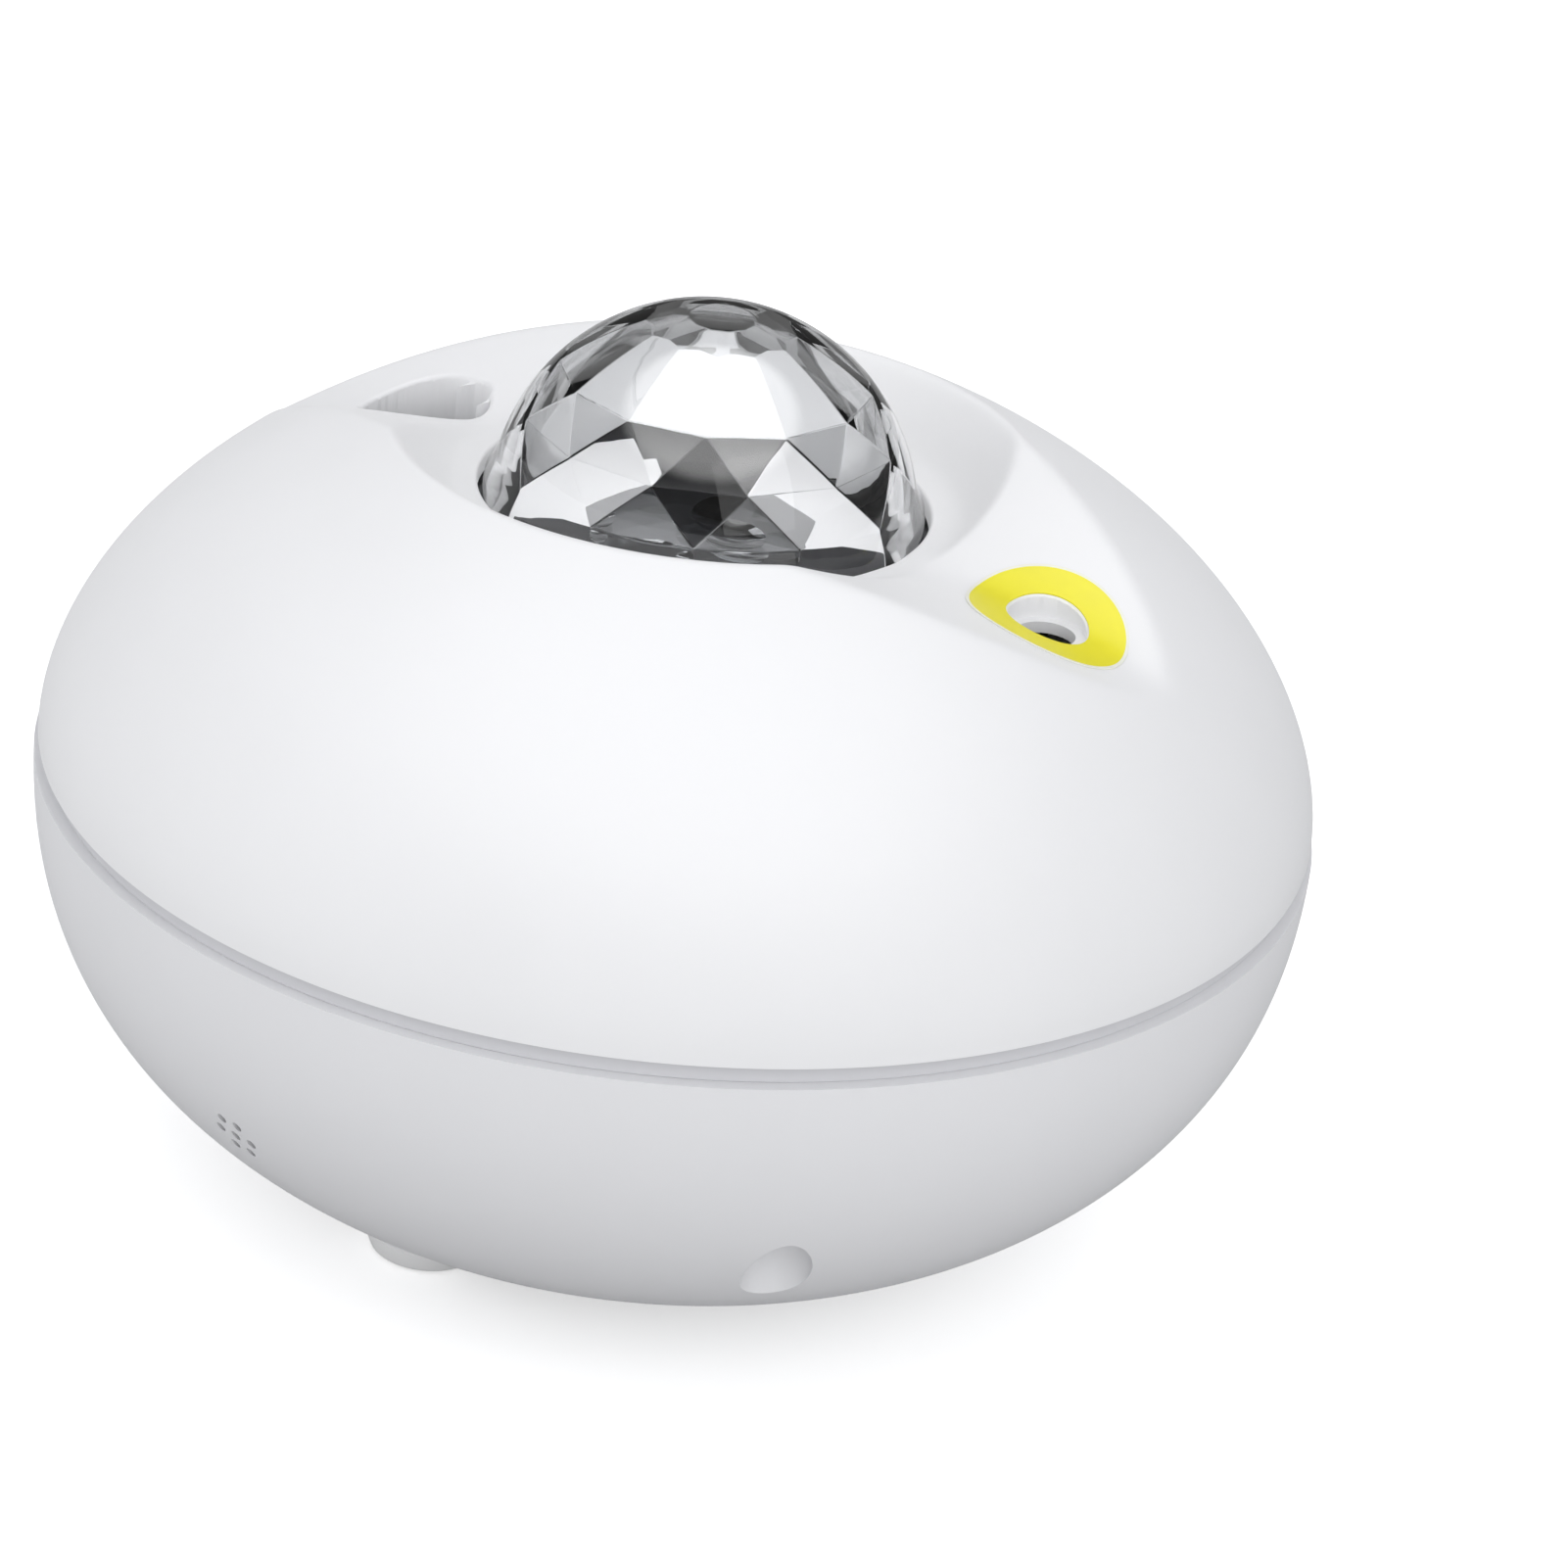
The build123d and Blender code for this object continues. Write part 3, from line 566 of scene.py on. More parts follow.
class Surface:
    """A material in the making: a Principled shader and what finishes lay on it."""

    def __init__(self, label: str, groups: ShaderGroups) -> None:
        """Makes the material, its shader and the socket that patterns read their place from.

        Args:
            label: the material's name.
            groups: the shared shader groups.
        """
        self.groups = groups
        self.material = bpy.data.materials.new(label)
        self.material.use_nodes = True
        self.material.node_tree.nodes.clear()
        self.nodes = Nodes(self.material.node_tree)
        self.shader = self.nodes.add("ShaderNodeBsdfPrincipled")
        self.output = self.nodes.add("ShaderNodeOutputMaterial")
        self.nodes.link(self.shader.outputs[0], self.output.inputs["Surface"])
        self.place = self.nodes.add("ShaderNodeTexCoord").outputs["Object"]

    def shared(self, tree: bpy.types.NodeTree, **values: float) -> bpy.types.Node:
        """Places a shared group in the material.

        Args:
            tree: the group.
            **values: its inputs, with blanks written as underscores.

        Returns:
            The group's node.
        """
        node = self.nodes.tree.nodes.new("ShaderNodeGroup")
        node.node_tree = tree
        self.nodes.link(self.place, node.inputs["Vector"])
        for name, value in values.items():
            node.inputs[name.replace("_", " ")].default_value = value
        return node

    def colours(self, mask: bpy.types.NodeSocket, low: Colour, high: Colour,
                stops: Point = (0.35, 0.65)) -> None:
        """Spreads a mask over two colours.

        Args:
            mask: what chooses between them.
            low: the colour where the mask is low.
            high: the colour where the mask is high.
            stops: up to where it is low, and from where it is high.
        """
        node = self.nodes.add("ShaderNodeValToRGB")
        for stop, position, colour in zip(node.color_ramp.elements, stops, (low, high)):
            stop.position = position
            stop.color = (*colour, 1.0)
        self.nodes.link(mask, node.inputs["Fac"])
        self.nodes.link(node.outputs["Color"], self.shader.inputs["Base Color"])

    def roughness(self, mask: bpy.types.NodeSocket, low: float, high: float) -> None:
        """Spreads a mask over a range of roughness.

        Args:
            mask: what chooses within the range.
            low: the roughness where the mask is 0.
            high: the roughness where the mask is 1.
        """
        spread = self.nodes.add("ShaderNodeMapRange")
        spread.inputs["To Min"].default_value = low
        spread.inputs["To Max"].default_value = high
        self.nodes.link(mask, spread.inputs["Value"])
        self.nodes.link(spread.outputs["Result"], self.shader.inputs["Roughness"])

    def bump(self, height: bpy.types.NodeSocket, depth: float, strength: float = 1.0) -> None:
        """Feeds a height to the shader's normal.

        Args:
            height: the height, from 0 to 1.
            depth: what a height of 1 stands for, in metres.
            strength: how much of it is shown.
        """
        node = self.nodes.add("ShaderNodeBump", Strength=strength, Distance=depth)
        self.nodes.link(height, node.inputs["Height"])
        self.nodes.link(node.outputs["Normal"], self.shader.inputs["Normal"])


def dimmed(colour: Colour, share: float) -> Colour:
    """A colour brought down to a share of its brightness."""
    red, green, blue = colour
    return red * share, green * share, blue * share


class Finish:
    """Base of every finish."""

    label: str

    def build(self, groups: ShaderGroups) -> bpy.types.Material:
        """Makes the material.

        Args:
            groups: the shared shader groups.

        Returns:
            The finished material.
        """
        surface = Surface(self.label, groups)
        self.dress(surface)
        return surface.material

    def dress(self, surface: Surface) -> None:
        """Fills in the material. Each finish has its own."""
        raise NotImplementedError


@dataclass(frozen=True)
class MouldedPlastic(Finish):
    """Opaque moulded plastic with a fine eroded grain."""

    label: str
    colour: Colour
    roughness_range: Point = (0.42, 0.54)
    grain_scale: float = 1500.0
    grain_depth: float = 0.00004
    grain_strength: float = 0.35
    dark_share: float = 0.98

    def dress(self, surface: Surface) -> None:
        """Adds the grain, a faint mottle and a range of roughness.

        Args:
            surface: the material in the making.
        """
        grain = surface.shared(surface.groups.grain, Fine_Scale=self.grain_scale)
        surface.colours(grain.outputs["Mottle"], dimmed(self.colour, self.dark_share), self.colour)
        surface.roughness(grain.outputs["Mottle"], *self.roughness_range)
        surface.bump(grain.outputs["Height"], self.grain_depth, self.grain_strength)


@dataclass(frozen=True)
class TwoTonePlastic(Finish):
    """Moulded plastic with three pale fields printed on it, round the object's axis."""

    label: str
    colour: Colour
    field_colour: Colour
    field_reach: float
    spoke_at: float
    spoke_half: float
    shine: float = 0.08
    roughness_range: Point = (0.7, 0.85)
    grain_depth: float = 0.00004
    grain_strength: float = 0.3

    def dress(self, surface: Surface) -> None:
        """Chooses the colour by the distance from the upright axis and the angle round it.

        Args:
            surface: the material in the making.
        """
        nodes = surface.nodes
        grain = surface.shared(surface.groups.grain)
        parts = nodes.add("ShaderNodeSeparateXYZ")
        nodes.link(surface.place, parts.inputs[0])
        x, y = parts.outputs["X"], parts.outputs["Y"]
        away = nodes.maths("SQRT", nodes.maths("ADD", nodes.maths("MULTIPLY", x, x),
                                               nodes.maths("MULTIPLY", y, y)))
        beyond = nodes.maths("GREATER_THAN", away, self.field_reach * MM)
        angle = nodes.maths("SUBTRACT", nodes.maths("ARCTAN2", y, x), math.radians(self.spoke_at))
        wave = nodes.maths("COSINE", nodes.maths("MULTIPLY", angle, 3.0))
        spoke = nodes.maths("GREATER_THAN", wave, math.cos(math.radians(3 * self.spoke_half)))
        surface.colours(nodes.maths("MAXIMUM", beyond, spoke), self.field_colour, self.colour)
        surface.shader.inputs["Specular IOR Level"].default_value = self.shine
        surface.roughness(grain.outputs["Mottle"], *self.roughness_range)
        surface.bump(grain.outputs["Height"], self.grain_depth, self.grain_strength)


@dataclass(frozen=True)
class ClearPlastic(Finish):
    """Clear moulded plastic that lets the lamps through it."""

    label: str
    tint: Colour = (0.985, 0.99, 0.995)
    index: float = 1.49
    haze: float = 0.0
    flow_scale: float = 110.0
    flow_depth: float = 0.00002
    shadow_tint: Colour = (0.9, 0.9, 0.9)

    def dress(self, surface: Surface) -> None:
        """Adds faint flow marks, and lets shadow rays pass.

        Args:
            surface: the material in the making.
        """
        nodes, shader = surface.nodes, surface.shader
        shader.inputs["Base Color"].default_value = (*self.tint, 1.0)
        shader.inputs["Roughness"].default_value = self.haze
        shader.inputs["IOR"].default_value = self.index
        shader.inputs["Transmission Weight"].default_value = 1.0
        flow = nodes.add("ShaderNodeTexNoise", Scale=self.flow_scale, Detail=2.0)
        nodes.link(surface.place, flow.inputs["Vector"])
        surface.bump(flow.outputs["Fac"], self.flow_depth)
        through = nodes.add("ShaderNodeBsdfTransparent")
        through.inputs["Color"].default_value = (*self.shadow_tint, 1.0)
        mix = nodes.add("ShaderNodeMixShader")
        path = nodes.add("ShaderNodeLightPath")
        nodes.link(path.outputs["Is Shadow Ray"], mix.inputs[0])
        nodes.link(shader.outputs[0], mix.inputs[1])
        nodes.link(through.outputs[0], mix.inputs[2])
        nodes.link(mix.outputs[0], surface.output.inputs["Surface"])


@dataclass(frozen=True)
class PrintedFilm(Finish):
    """Self-adhesive film: a flat printed colour under a satin laminate."""

    label: str
    colour: Colour
    print_scale: float = 900.0
    mottle_scale: float = 160.0
    dark_share: float = 0.965
    roughness_range: Point = (0.3, 0.42)
    wave_depth: float = 0.0001
    wave_strength: float = 0.25

    def dress(self, surface: Surface) -> None:
        """Adds faint print mottle and the wave of film laid by hand.

        Args:
            surface: the material in the making.
        """
        mottle = surface.shared(surface.groups.grain, Fine_Scale=self.print_scale,
                                Mottle_Scale=self.mottle_scale).outputs["Mottle"]
        surface.colours(mottle, dimmed(self.colour, self.dark_share), self.colour)
        surface.roughness(mottle, *self.roughness_range)
        surface.bump(mottle, self.wave_depth, self.wave_strength)


@dataclass(frozen=True)
class Metal(Finish):
    """Bare or plated metal with brush lines."""

    label: str
    colour: Colour
    roughness_range: Point = (0.25, 0.4)
    line_scale: float = 900.0
    line_depth: float = 0.00002
    line_strength: float = 0.4
    dark_share: float = 0.85

    def dress(self, surface: Surface) -> None:
        """Adds the brush lines.

        Args:
            surface: the material in the making.
        """
        surface.shader.inputs["Metallic"].default_value = 1.0
        lines = surface.shared(surface.groups.brushed, Line_Scale=self.line_scale)
        surface.colours(lines.outputs["Streaks"], dimmed(self.colour, self.dark_share),
                        self.colour)
        surface.roughness(lines.outputs["Streaks"], *self.roughness_range)
        surface.bump(lines.outputs["Height"], self.line_depth, self.line_strength)


@dataclass(frozen=True)
class FeltFacedCan(Finish):
    """Satin metal can with a black felt disc over its front."""

    label: str
    colour: Colour
    felt_colour: Colour
    felt_back: float
    felt_roughness: float = 0.95
    metal_roughness: float = 0.4
    line_depth: float = 0.00002
    line_strength: float = 0.4

    def dress(self, surface: Surface) -> None:
        """Turns from felt to metal at a plane across Y.

        Args:
            surface: the material in the making.
        """
        nodes = surface.nodes
        parts = nodes.add("ShaderNodeSeparateXYZ")
        nodes.link(surface.place, parts.inputs[0])
        metal = nodes.maths("GREATER_THAN", parts.outputs["Y"], self.felt_back * MM)
        lines = surface.shared(surface.groups.brushed)
        surface.colours(metal, self.felt_colour, self.colour)
        nodes.link(metal, surface.shader.inputs["Metallic"])
        surface.roughness(metal, self.felt_roughness, self.metal_roughness)
        surface.bump(lines.outputs["Height"], self.line_depth, self.line_strength)


@dataclass(frozen=True)
class SolderMask(Finish):
    """Circuit board lacquer over copper tracks."""

    label: str
    colour: Colour
    track_colour: Colour
    dark_share: float = 0.9
    track_scale: float = 160.0
    track_width: float = 0.03
    track_depth: float = 0.00003
    track_strength: float = 0.5
    mottle_scale: float = 80.0
    roughness_range: Point = (0.3, 0.45)
    coat: float = 0.5
    coat_roughness: float = 0.15

    def dress(self, surface: Surface) -> None:
        """Shows the tracks as paler, slightly raised runs under the lacquer.

        Args:
            surface: the material in the making.
        """
        surface.shader.inputs["Coat Weight"].default_value = self.coat
        surface.shader.inputs["Coat Roughness"].default_value = self.coat_roughness
        tracks = surface.nodes.add("ShaderNodeTexBrick", offset=0.5, Scale=self.track_scale)
        tracks.inputs["Color1"].default_value = (*self.colour, 1.0)
        tracks.inputs["Color2"].default_value = (*dimmed(self.colour, self.dark_share), 1.0)
        tracks.inputs["Mortar"].default_value = (*self.track_colour, 1.0)
        tracks.inputs["Mortar Size"].default_value = self.track_width
        surface.nodes.link(surface.place, tracks.inputs["Vector"])
        surface.nodes.link(tracks.outputs["Color"], surface.shader.inputs["Base Color"])
        mottle = surface.shared(surface.groups.grain, Mottle_Scale=self.mottle_scale)
        surface.roughness(mottle.outputs["Mottle"], *self.roughness_range)
        surface.bump(tracks.outputs["Fac"], self.track_depth, self.track_strength)


@dataclass(frozen=True)
class Paint:
    """Every finish of the object, built once."""

    upper: bpy.types.Material
    lower: bpy.types.Material
    band: bpy.types.Material
    dome: bpy.types.Material
    lens: bpy.types.Material
    film: bpy.types.Material
    yellow: bpy.types.Material
    edge: bpy.types.Material
    black: bpy.types.Material
    clamp: bpy.types.Material
    deck: bpy.types.Material
    gear: bpy.types.Material
    rubber: bpy.types.Material
    aluminium: bpy.types.Material
    steel: bpy.types.Material
    zinc: bpy.types.Material
    brass: bpy.types.Material
    capsule: bpy.types.Material
    green_board: bpy.types.Material
    white_board: bpy.types.Material
    phosphor: bpy.types.Material
    epoxy: bpy.types.Material
    nylon: bpy.types.Material
    button: bpy.types.Material

    @classmethod
    def mix(cls) -> Paint:
        """Builds the shared groups and every material.

        Returns:
            The finished paint.
        """
        groups = ShaderGroups()
        finishes = {
            "upper": MouldedPlastic("upper_case_plastic", (0.84, 0.84, 0.85)),
            # the lower half is the same white plastic as the upper half, made a little darker:
            # painted shade for its downward-facing skin
            "lower": MouldedPlastic("lower_case_plastic_painted_shade", (0.80, 0.80, 0.815)),
            "band": MouldedPlastic("band_plastic", (0.62, 0.62, 0.64), (0.35, 0.45)),
            "dome": ClearPlastic("dome_acrylic"),
            "lens": ClearPlastic("lens_acrylic", (0.94, 0.96, 0.98)),
            "film": ClearPlastic("grating_acrylic", (0.86, 0.90, 0.95), haze=0.15),
            "yellow": PrintedFilm("yellow_print", (0.82, 0.75, 0.014)),
            "edge": PrintedFilm("film_edge", (0.82, 0.82, 0.74)),
            "black": MouldedPlastic("black_plastic", (0.022, 0.022, 0.024), (0.4, 0.55)),
            "clamp": TwoTonePlastic("clamp_plastic", (0.02, 0.02, 0.022), (0.62, 0.62, 0.63),
                                    field_reach=25.0, spoke_at=9.0, spoke_half=17.0),
            "deck": MouldedPlastic("deck_plastic", (0.10, 0.10, 0.11), (0.45, 0.6)),
            "gear": MouldedPlastic("gear_acetal", (0.80, 0.79, 0.74), (0.28, 0.36),
                                   grain_strength=0.1),
            "rubber": MouldedPlastic("foot_rubber", (0.82, 0.82, 0.82), (0.65, 0.8),
                                     grain_scale=2600.0),
            "aluminium": Metal("bare_aluminium", (0.78, 0.79, 0.80)),
            "steel": Metal("motor_steel", (0.66, 0.66, 0.67)),
            "zinc": Metal("zinc_plate", (0.58, 0.58, 0.60), (0.3, 0.45)),
            "brass": Metal("turned_brass", (0.80, 0.62, 0.30)),
            "capsule": FeltFacedCan("microphone_can", (0.70, 0.70, 0.71), (0.008, 0.008, 0.008),
                                    felt_back=-78.6),
            "green_board": SolderMask("green_mask", (0.015, 0.16, 0.06), (0.05, 0.30, 0.12)),
            "white_board": SolderMask("white_mask", (0.78, 0.78, 0.76), (0.70, 0.70, 0.68)),
            "phosphor": MouldedPlastic("phosphor", (0.86, 0.70, 0.16), (0.3, 0.4)),
            "epoxy": MouldedPlastic("black_epoxy", (0.03, 0.03, 0.032), (0.35, 0.5)),
            "nylon": MouldedPlastic("white_nylon", (0.82, 0.80, 0.74), (0.35, 0.45)),
            "button": MouldedPlastic("button_plastic", (0.72, 0.72, 0.735), (0.35, 0.45)),
        }
        return cls(**{name: finish.build(groups) for name, finish in finishes.items()})


# ---------------------------------------------------------------- openings


@dataclass(frozen=True)
class RoundAperture:
    """Stepped round opening that lets the star beams out."""

    centre: Point = (52.9, 8.8)
    radius: float = 5.4
    beam_radius: float = 4.0
    ledge: float = 36.9
    cup_radius: float = 7.8
    cup_foot: float = 35.3
    rounding: float = 0.35

    def distance(self, x: np.ndarray, y: np.ndarray) -> np.ndarray:
        """How far each point lies outside the opening."""
        return np.hypot(x - self.centre[0], y - self.centre[1]) - self.radius


@dataclass(frozen=True)
class EaredOpening:
    """Round opening with two narrow ears, for the second projector's light."""

    centre: Point = (-47.6, -6.3)
    radius: float = 9.2
    ear_reach: float = 9.9
    ear_half_width: float = 3.4
    turn: float = 69.2
    collar: float = 1.8
    collar_foot: float = 31.0
    rounding: float = 0.7
    ear_steps: int = 13
    disc_steps: int = 33

    def distance(self, x: np.ndarray, y: np.ndarray) -> np.ndarray:
        """How far each point lies outside the opening.

        Args:
            x: plan positions along X.
            y: plan positions along Y.

        Returns:
            The distance of each point, negative inside the opening.
        """
        along, across = self._local(x, y)
        disc = np.hypot(along, across) - self.radius
        reach = self.ear_reach - self.ear_half_width
        ears = np.hypot(np.maximum(np.abs(along) - reach, 0.0), across) - self.ear_half_width
        return np.minimum(disc, ears)

    def _local(self, x: np.ndarray, y: np.ndarray) -> tuple[np.ndarray, np.ndarray]:
        """Turns plan positions into the opening's own directions.

        Args:
            x: plan positions along X.
            y: plan positions along Y.

        Returns:
            The positions along the ears and across them, from the opening's centre.
        """
        turn = math.radians(self.turn)
        dx, dy = x - self.centre[0], y - self.centre[1]
        return (dx * math.cos(turn) + dy * math.sin(turn),
                -dx * math.sin(turn) + dy * math.cos(turn))

    def outline(self, grow: float) -> list[Point]:
        """Plan outline, anticlockwise, grown all round.

        Args:
            grow: how far outside the opening's wall it runs.

        Returns:
            The outline's corners.
        """
        radius = self.radius + grow
        half = self.ear_half_width + grow
        tip = self.ear_reach - self.ear_half_width
        meet = math.asin(half / radius)
        local: list[Point] = []
        for side in (0.0, math.pi):
            ear = [(tip * math.cos(side) + half * math.cos(side + a),
                    tip * math.sin(side) + half * math.sin(side + a))
                   for a in np.linspace(-math.pi / 2, math.pi / 2, self.ear_steps)]
            disc = [(radius * math.cos(side + a), radius * math.sin(side + a))
                    for a in np.linspace(meet, math.pi - meet, self.disc_steps)]
            local += ear + disc
        turn = Matrix.Rotation(math.radians(self.turn), 2)
        return [tuple(turn @ Vector(p) + Vector(self.centre)) for p in local]


# ---------------------------------------------------------------- sub-assemblies


@dataclass
class UpperCase:
    """Upper half of the case, with its valley, its openings and the ring round the aperture."""

    workshop: Workshop
    paint: Paint
    wall: float = 2.2
    top_wall: float = 2.4
    dome_opening: float = 31.2
    opening_rounding: float = 0.5
    steps_round: int = 384
    curve_steps: int = 400
    inner_steps: int = 60
    edge_rings: int = 6             # rings of the skin at the dome opening's edge
    edge_pitch: float = 0.12
    shelf_rings: tuple[float, float, int] = (32.2, 34.0, 6)
    pocket_rings: tuple[float, float, float] = (34.35, 46.2, 0.36)
    skin_pitch: float = 0.95        # between the rings outside the pocket
    rim_start: float = 86.0         # outside this radius the crown is left as it is
    refined: float = 3.0            # how far from the two openings' edges the skin is fine
    collar_bury: float = 0.55       # depth of a collar's top in the wall, as a share of it
    cut_foot: float = 25.0          # a cutter's ends below and above the top
    cut_top: float = 60.0
    aperture: RoundAperture = field(default_factory=RoundAperture)
    eared: EaredOpening = field(default_factory=EaredOpening)
    ring_radius: float = 11.1
    ring_gap: float = 0.25          # between the aperture's edge and the ring
    ring_pitch: float = 0.35
    ring_loops: int = 14
    ring_steps: int = 160
    ring_border: float = 0.45
    ring_thickness: float = 0.16
    ring_lift: float = 0.03

    def build(self) -> None:
        """Makes the shell and the ring."""
        self.workshop.piece(self._shell(), "upper_case", self.paint.upper, "upper_white",
                            stands_for=["upper_shell"])
        self._ring()

    def _section(self) -> list[Point]:
        """Section of the shell before it is lowered onto the valley.

        Returns:
            Radius and height of each point: the outer skin, then the inner one.
        """
        near = [self.dome_opening + self.edge_pitch * i for i in range(self.edge_rings)]
        near += list(np.linspace(*self.shelf_rings))
        near += list(np.arange(*self.pocket_rings))
        outer = [(r, float(UPPER_CURVE.height(np.array(r)))) for r in near]
        far = UPPER_CURVE.points(0.0, self.curve_steps)[::-1]
        travelled = 0.0
        for (r0, z0), (r1, z1) in zip(far, far[1:]):
            travelled = travelled + math.hypot(r1 - r0, z1 - z0) if r0 > near[-1] else 0.0
            if travelled >= self.skin_pitch:
                outer.append((r1, z1))
                travelled = 0.0
        outer[-1] = (UPPER_CURVE.radius, UPPER_CURVE.start)
        inner = [p for p in UPPER_CURVE.points(self.wall, self.inner_steps)
                 if p[0] > self.dome_opening]
        inner[0] = (inner[0][0], UPPER_CURVE.start)
        inner.append((self.dome_opening, inner[-1][1]))
        return outer + inner

    def _shell(self) -> bmesh.types.BMesh:
        """Makes the upper half's shell.

        Returns:
            A closed mesh with its valley, its collars and its openings.
        """
        mesh = self.workshop.lathe(self._section(), self.steps_round)
        self._refine(mesh)
        self._settle(mesh)
        collars = [self._collar(self.eared.outline(self.eared.collar), self.eared.collar_foot),
                   self._collar(self._circle(self.aperture.cup_radius), self.aperture.cup_foot)]
        mesh = self.workshop.carve(mesh, collars, "UNION")
        prism, foot, top = self.workshop.prism, self.cut_foot, self.cut_top
        cuts = [prism(self.eared.outline(0.0), foot, top),
                prism(self._circle(self.aperture.radius), self.aperture.ledge, top),
                prism(self._circle(self.aperture.beam_radius), foot, top)]
        return self.workshop.carve(mesh, cuts)

    def _circle(self, radius: float, steps: int = 72) -> list[Point]:
        """Plan circle round the aperture's centre.

        Args:
            radius: the circle's radius.
            steps: number of its corners.

        Returns:
            The circle's corners.
        """
        x, y = self.aperture.centre
        return [(x + radius * math.cos(a), y + radius * math.sin(a))
                for a in np.linspace(0, 2 * math.pi, steps, endpoint=False)]

    def _refine(self, mesh: bmesh.types.BMesh) -> None:
        """Divides the outer skin's faces finely along the edges of the two openings.

        Args:
            mesh: the uncut shell.
        """
        for opening in (self.eared, self.aperture):
            centres = np.array([f.calc_center_median() for f in mesh.faces])
            x, y, z = centres.T
            outer = z > UPPER_CURVE.height(np.hypot(x, y)) - self.wall / 2
            near = np.abs(opening.distance(x, y)) < self.refined
            chosen = [f for f, wanted in zip(mesh.faces, near & outer) if wanted]
            edges = list({e for f in chosen for e in f.edges})
            bmesh.ops.subdivide_edges(mesh, edges=edges, cuts=3, use_grid_fill=True)

    def _settle(self, mesh: bmesh.types.BMesh) -> None:
        """Lowers the crown's points onto the valley, the pocket and the openings' edges.

        Args:
            mesh: the uncut shell.
        """
        x, y, z = np.array([v.co for v in mesh.verts]).T
        radius = np.hypot(x, y)
        inside = z < UPPER_CURVE.height(radius) - self.wall / 2
        inset = np.where(inside, self.top_wall, 0.0)
        rim = radius > self.rim_start
        crown = np.where(inside | rim, z, UPPER_CURVE.height(radius))
        height = np.where(rim, z, VALLEY.skin(x, y, inset, crown))
        for gap, rounding in ((self.eared.distance(x, y), self.eared.rounding),
                              (self.aperture.distance(x, y), self.aperture.rounding),
                              (radius - self.dome_opening, self.opening_rounding)):
            depth = np.clip(rounding - gap, 0.0, rounding)
            lowered = rounding - np.sqrt(np.maximum(rounding ** 2 - depth ** 2, 0.0))
            height = height - np.where(inside, 0.0, lowered)
        for vert, level in zip(mesh.verts, height):
            vert.co.z = level

    def _collar(self, outline: Sequence[Point], foot: float) -> bmesh.types.BMesh:
        """Prism under the skin, from its foot up into the wall.

        Args:
            outline: the collar's plan outline.
            foot: height of its foot.

        Returns:
            A closed mesh.
        """
        mesh = self.workshop.prism(outline, foot, self.cut_top)
        rising = [v for v in mesh.verts if v.co.z > foot + 1]
        x, y, _ = np.array([v.co for v in rising]).T
        for vert, level in zip(rising, self._skin(x, y) - self.top_wall * self.collar_bury):
            vert.co.z = level
        return mesh

    @staticmethod
    def _skin(x: np.ndarray, y: np.ndarray) -> np.ndarray:
        """Height of the outer skin at plan positions."""
        crown = UPPER_CURVE.height(np.hypot(x, y))
        return VALLEY.skin(x, y, np.zeros_like(x), crown)

    def _ring(self) -> None:
        """Plain yellow film ring that follows the floor and bends up over the crease."""
        start = self.aperture.radius + self.ring_gap
        radii = [start + self.ring_pitch * i for i in range(self.ring_loops)]
        radii += [self.ring_radius - self.ring_border, self.ring_radius]
        low = [(r, 0.0) for r in radii]
        high = [(r, self.ring_thickness) for r in reversed(radii)]
        mesh = self.workshop.lathe(low + high, self.ring_steps, centre=self.aperture.centre)
        x, y, rise = np.array([v.co for v in mesh.verts]).T
        for vert, height in zip(mesh.verts, self._skin(x, y) + rise + self.ring_lift):
            vert.co.z = height
        ring = self.workshop.piece(mesh, "yellow_ring", self.paint.yellow, "ring_yellow",
                                   stands_for=["aperture_ring"])
        ring.data.materials.append(self.paint.edge)
        border = (self.ring_radius - self.ring_border) * MM
        centre = Vector(self.aperture.centre) * MM
        for face in ring.data.polygons:
            if (Vector(face.center[:2]) - centre).length > border:
                face.material_index = 1


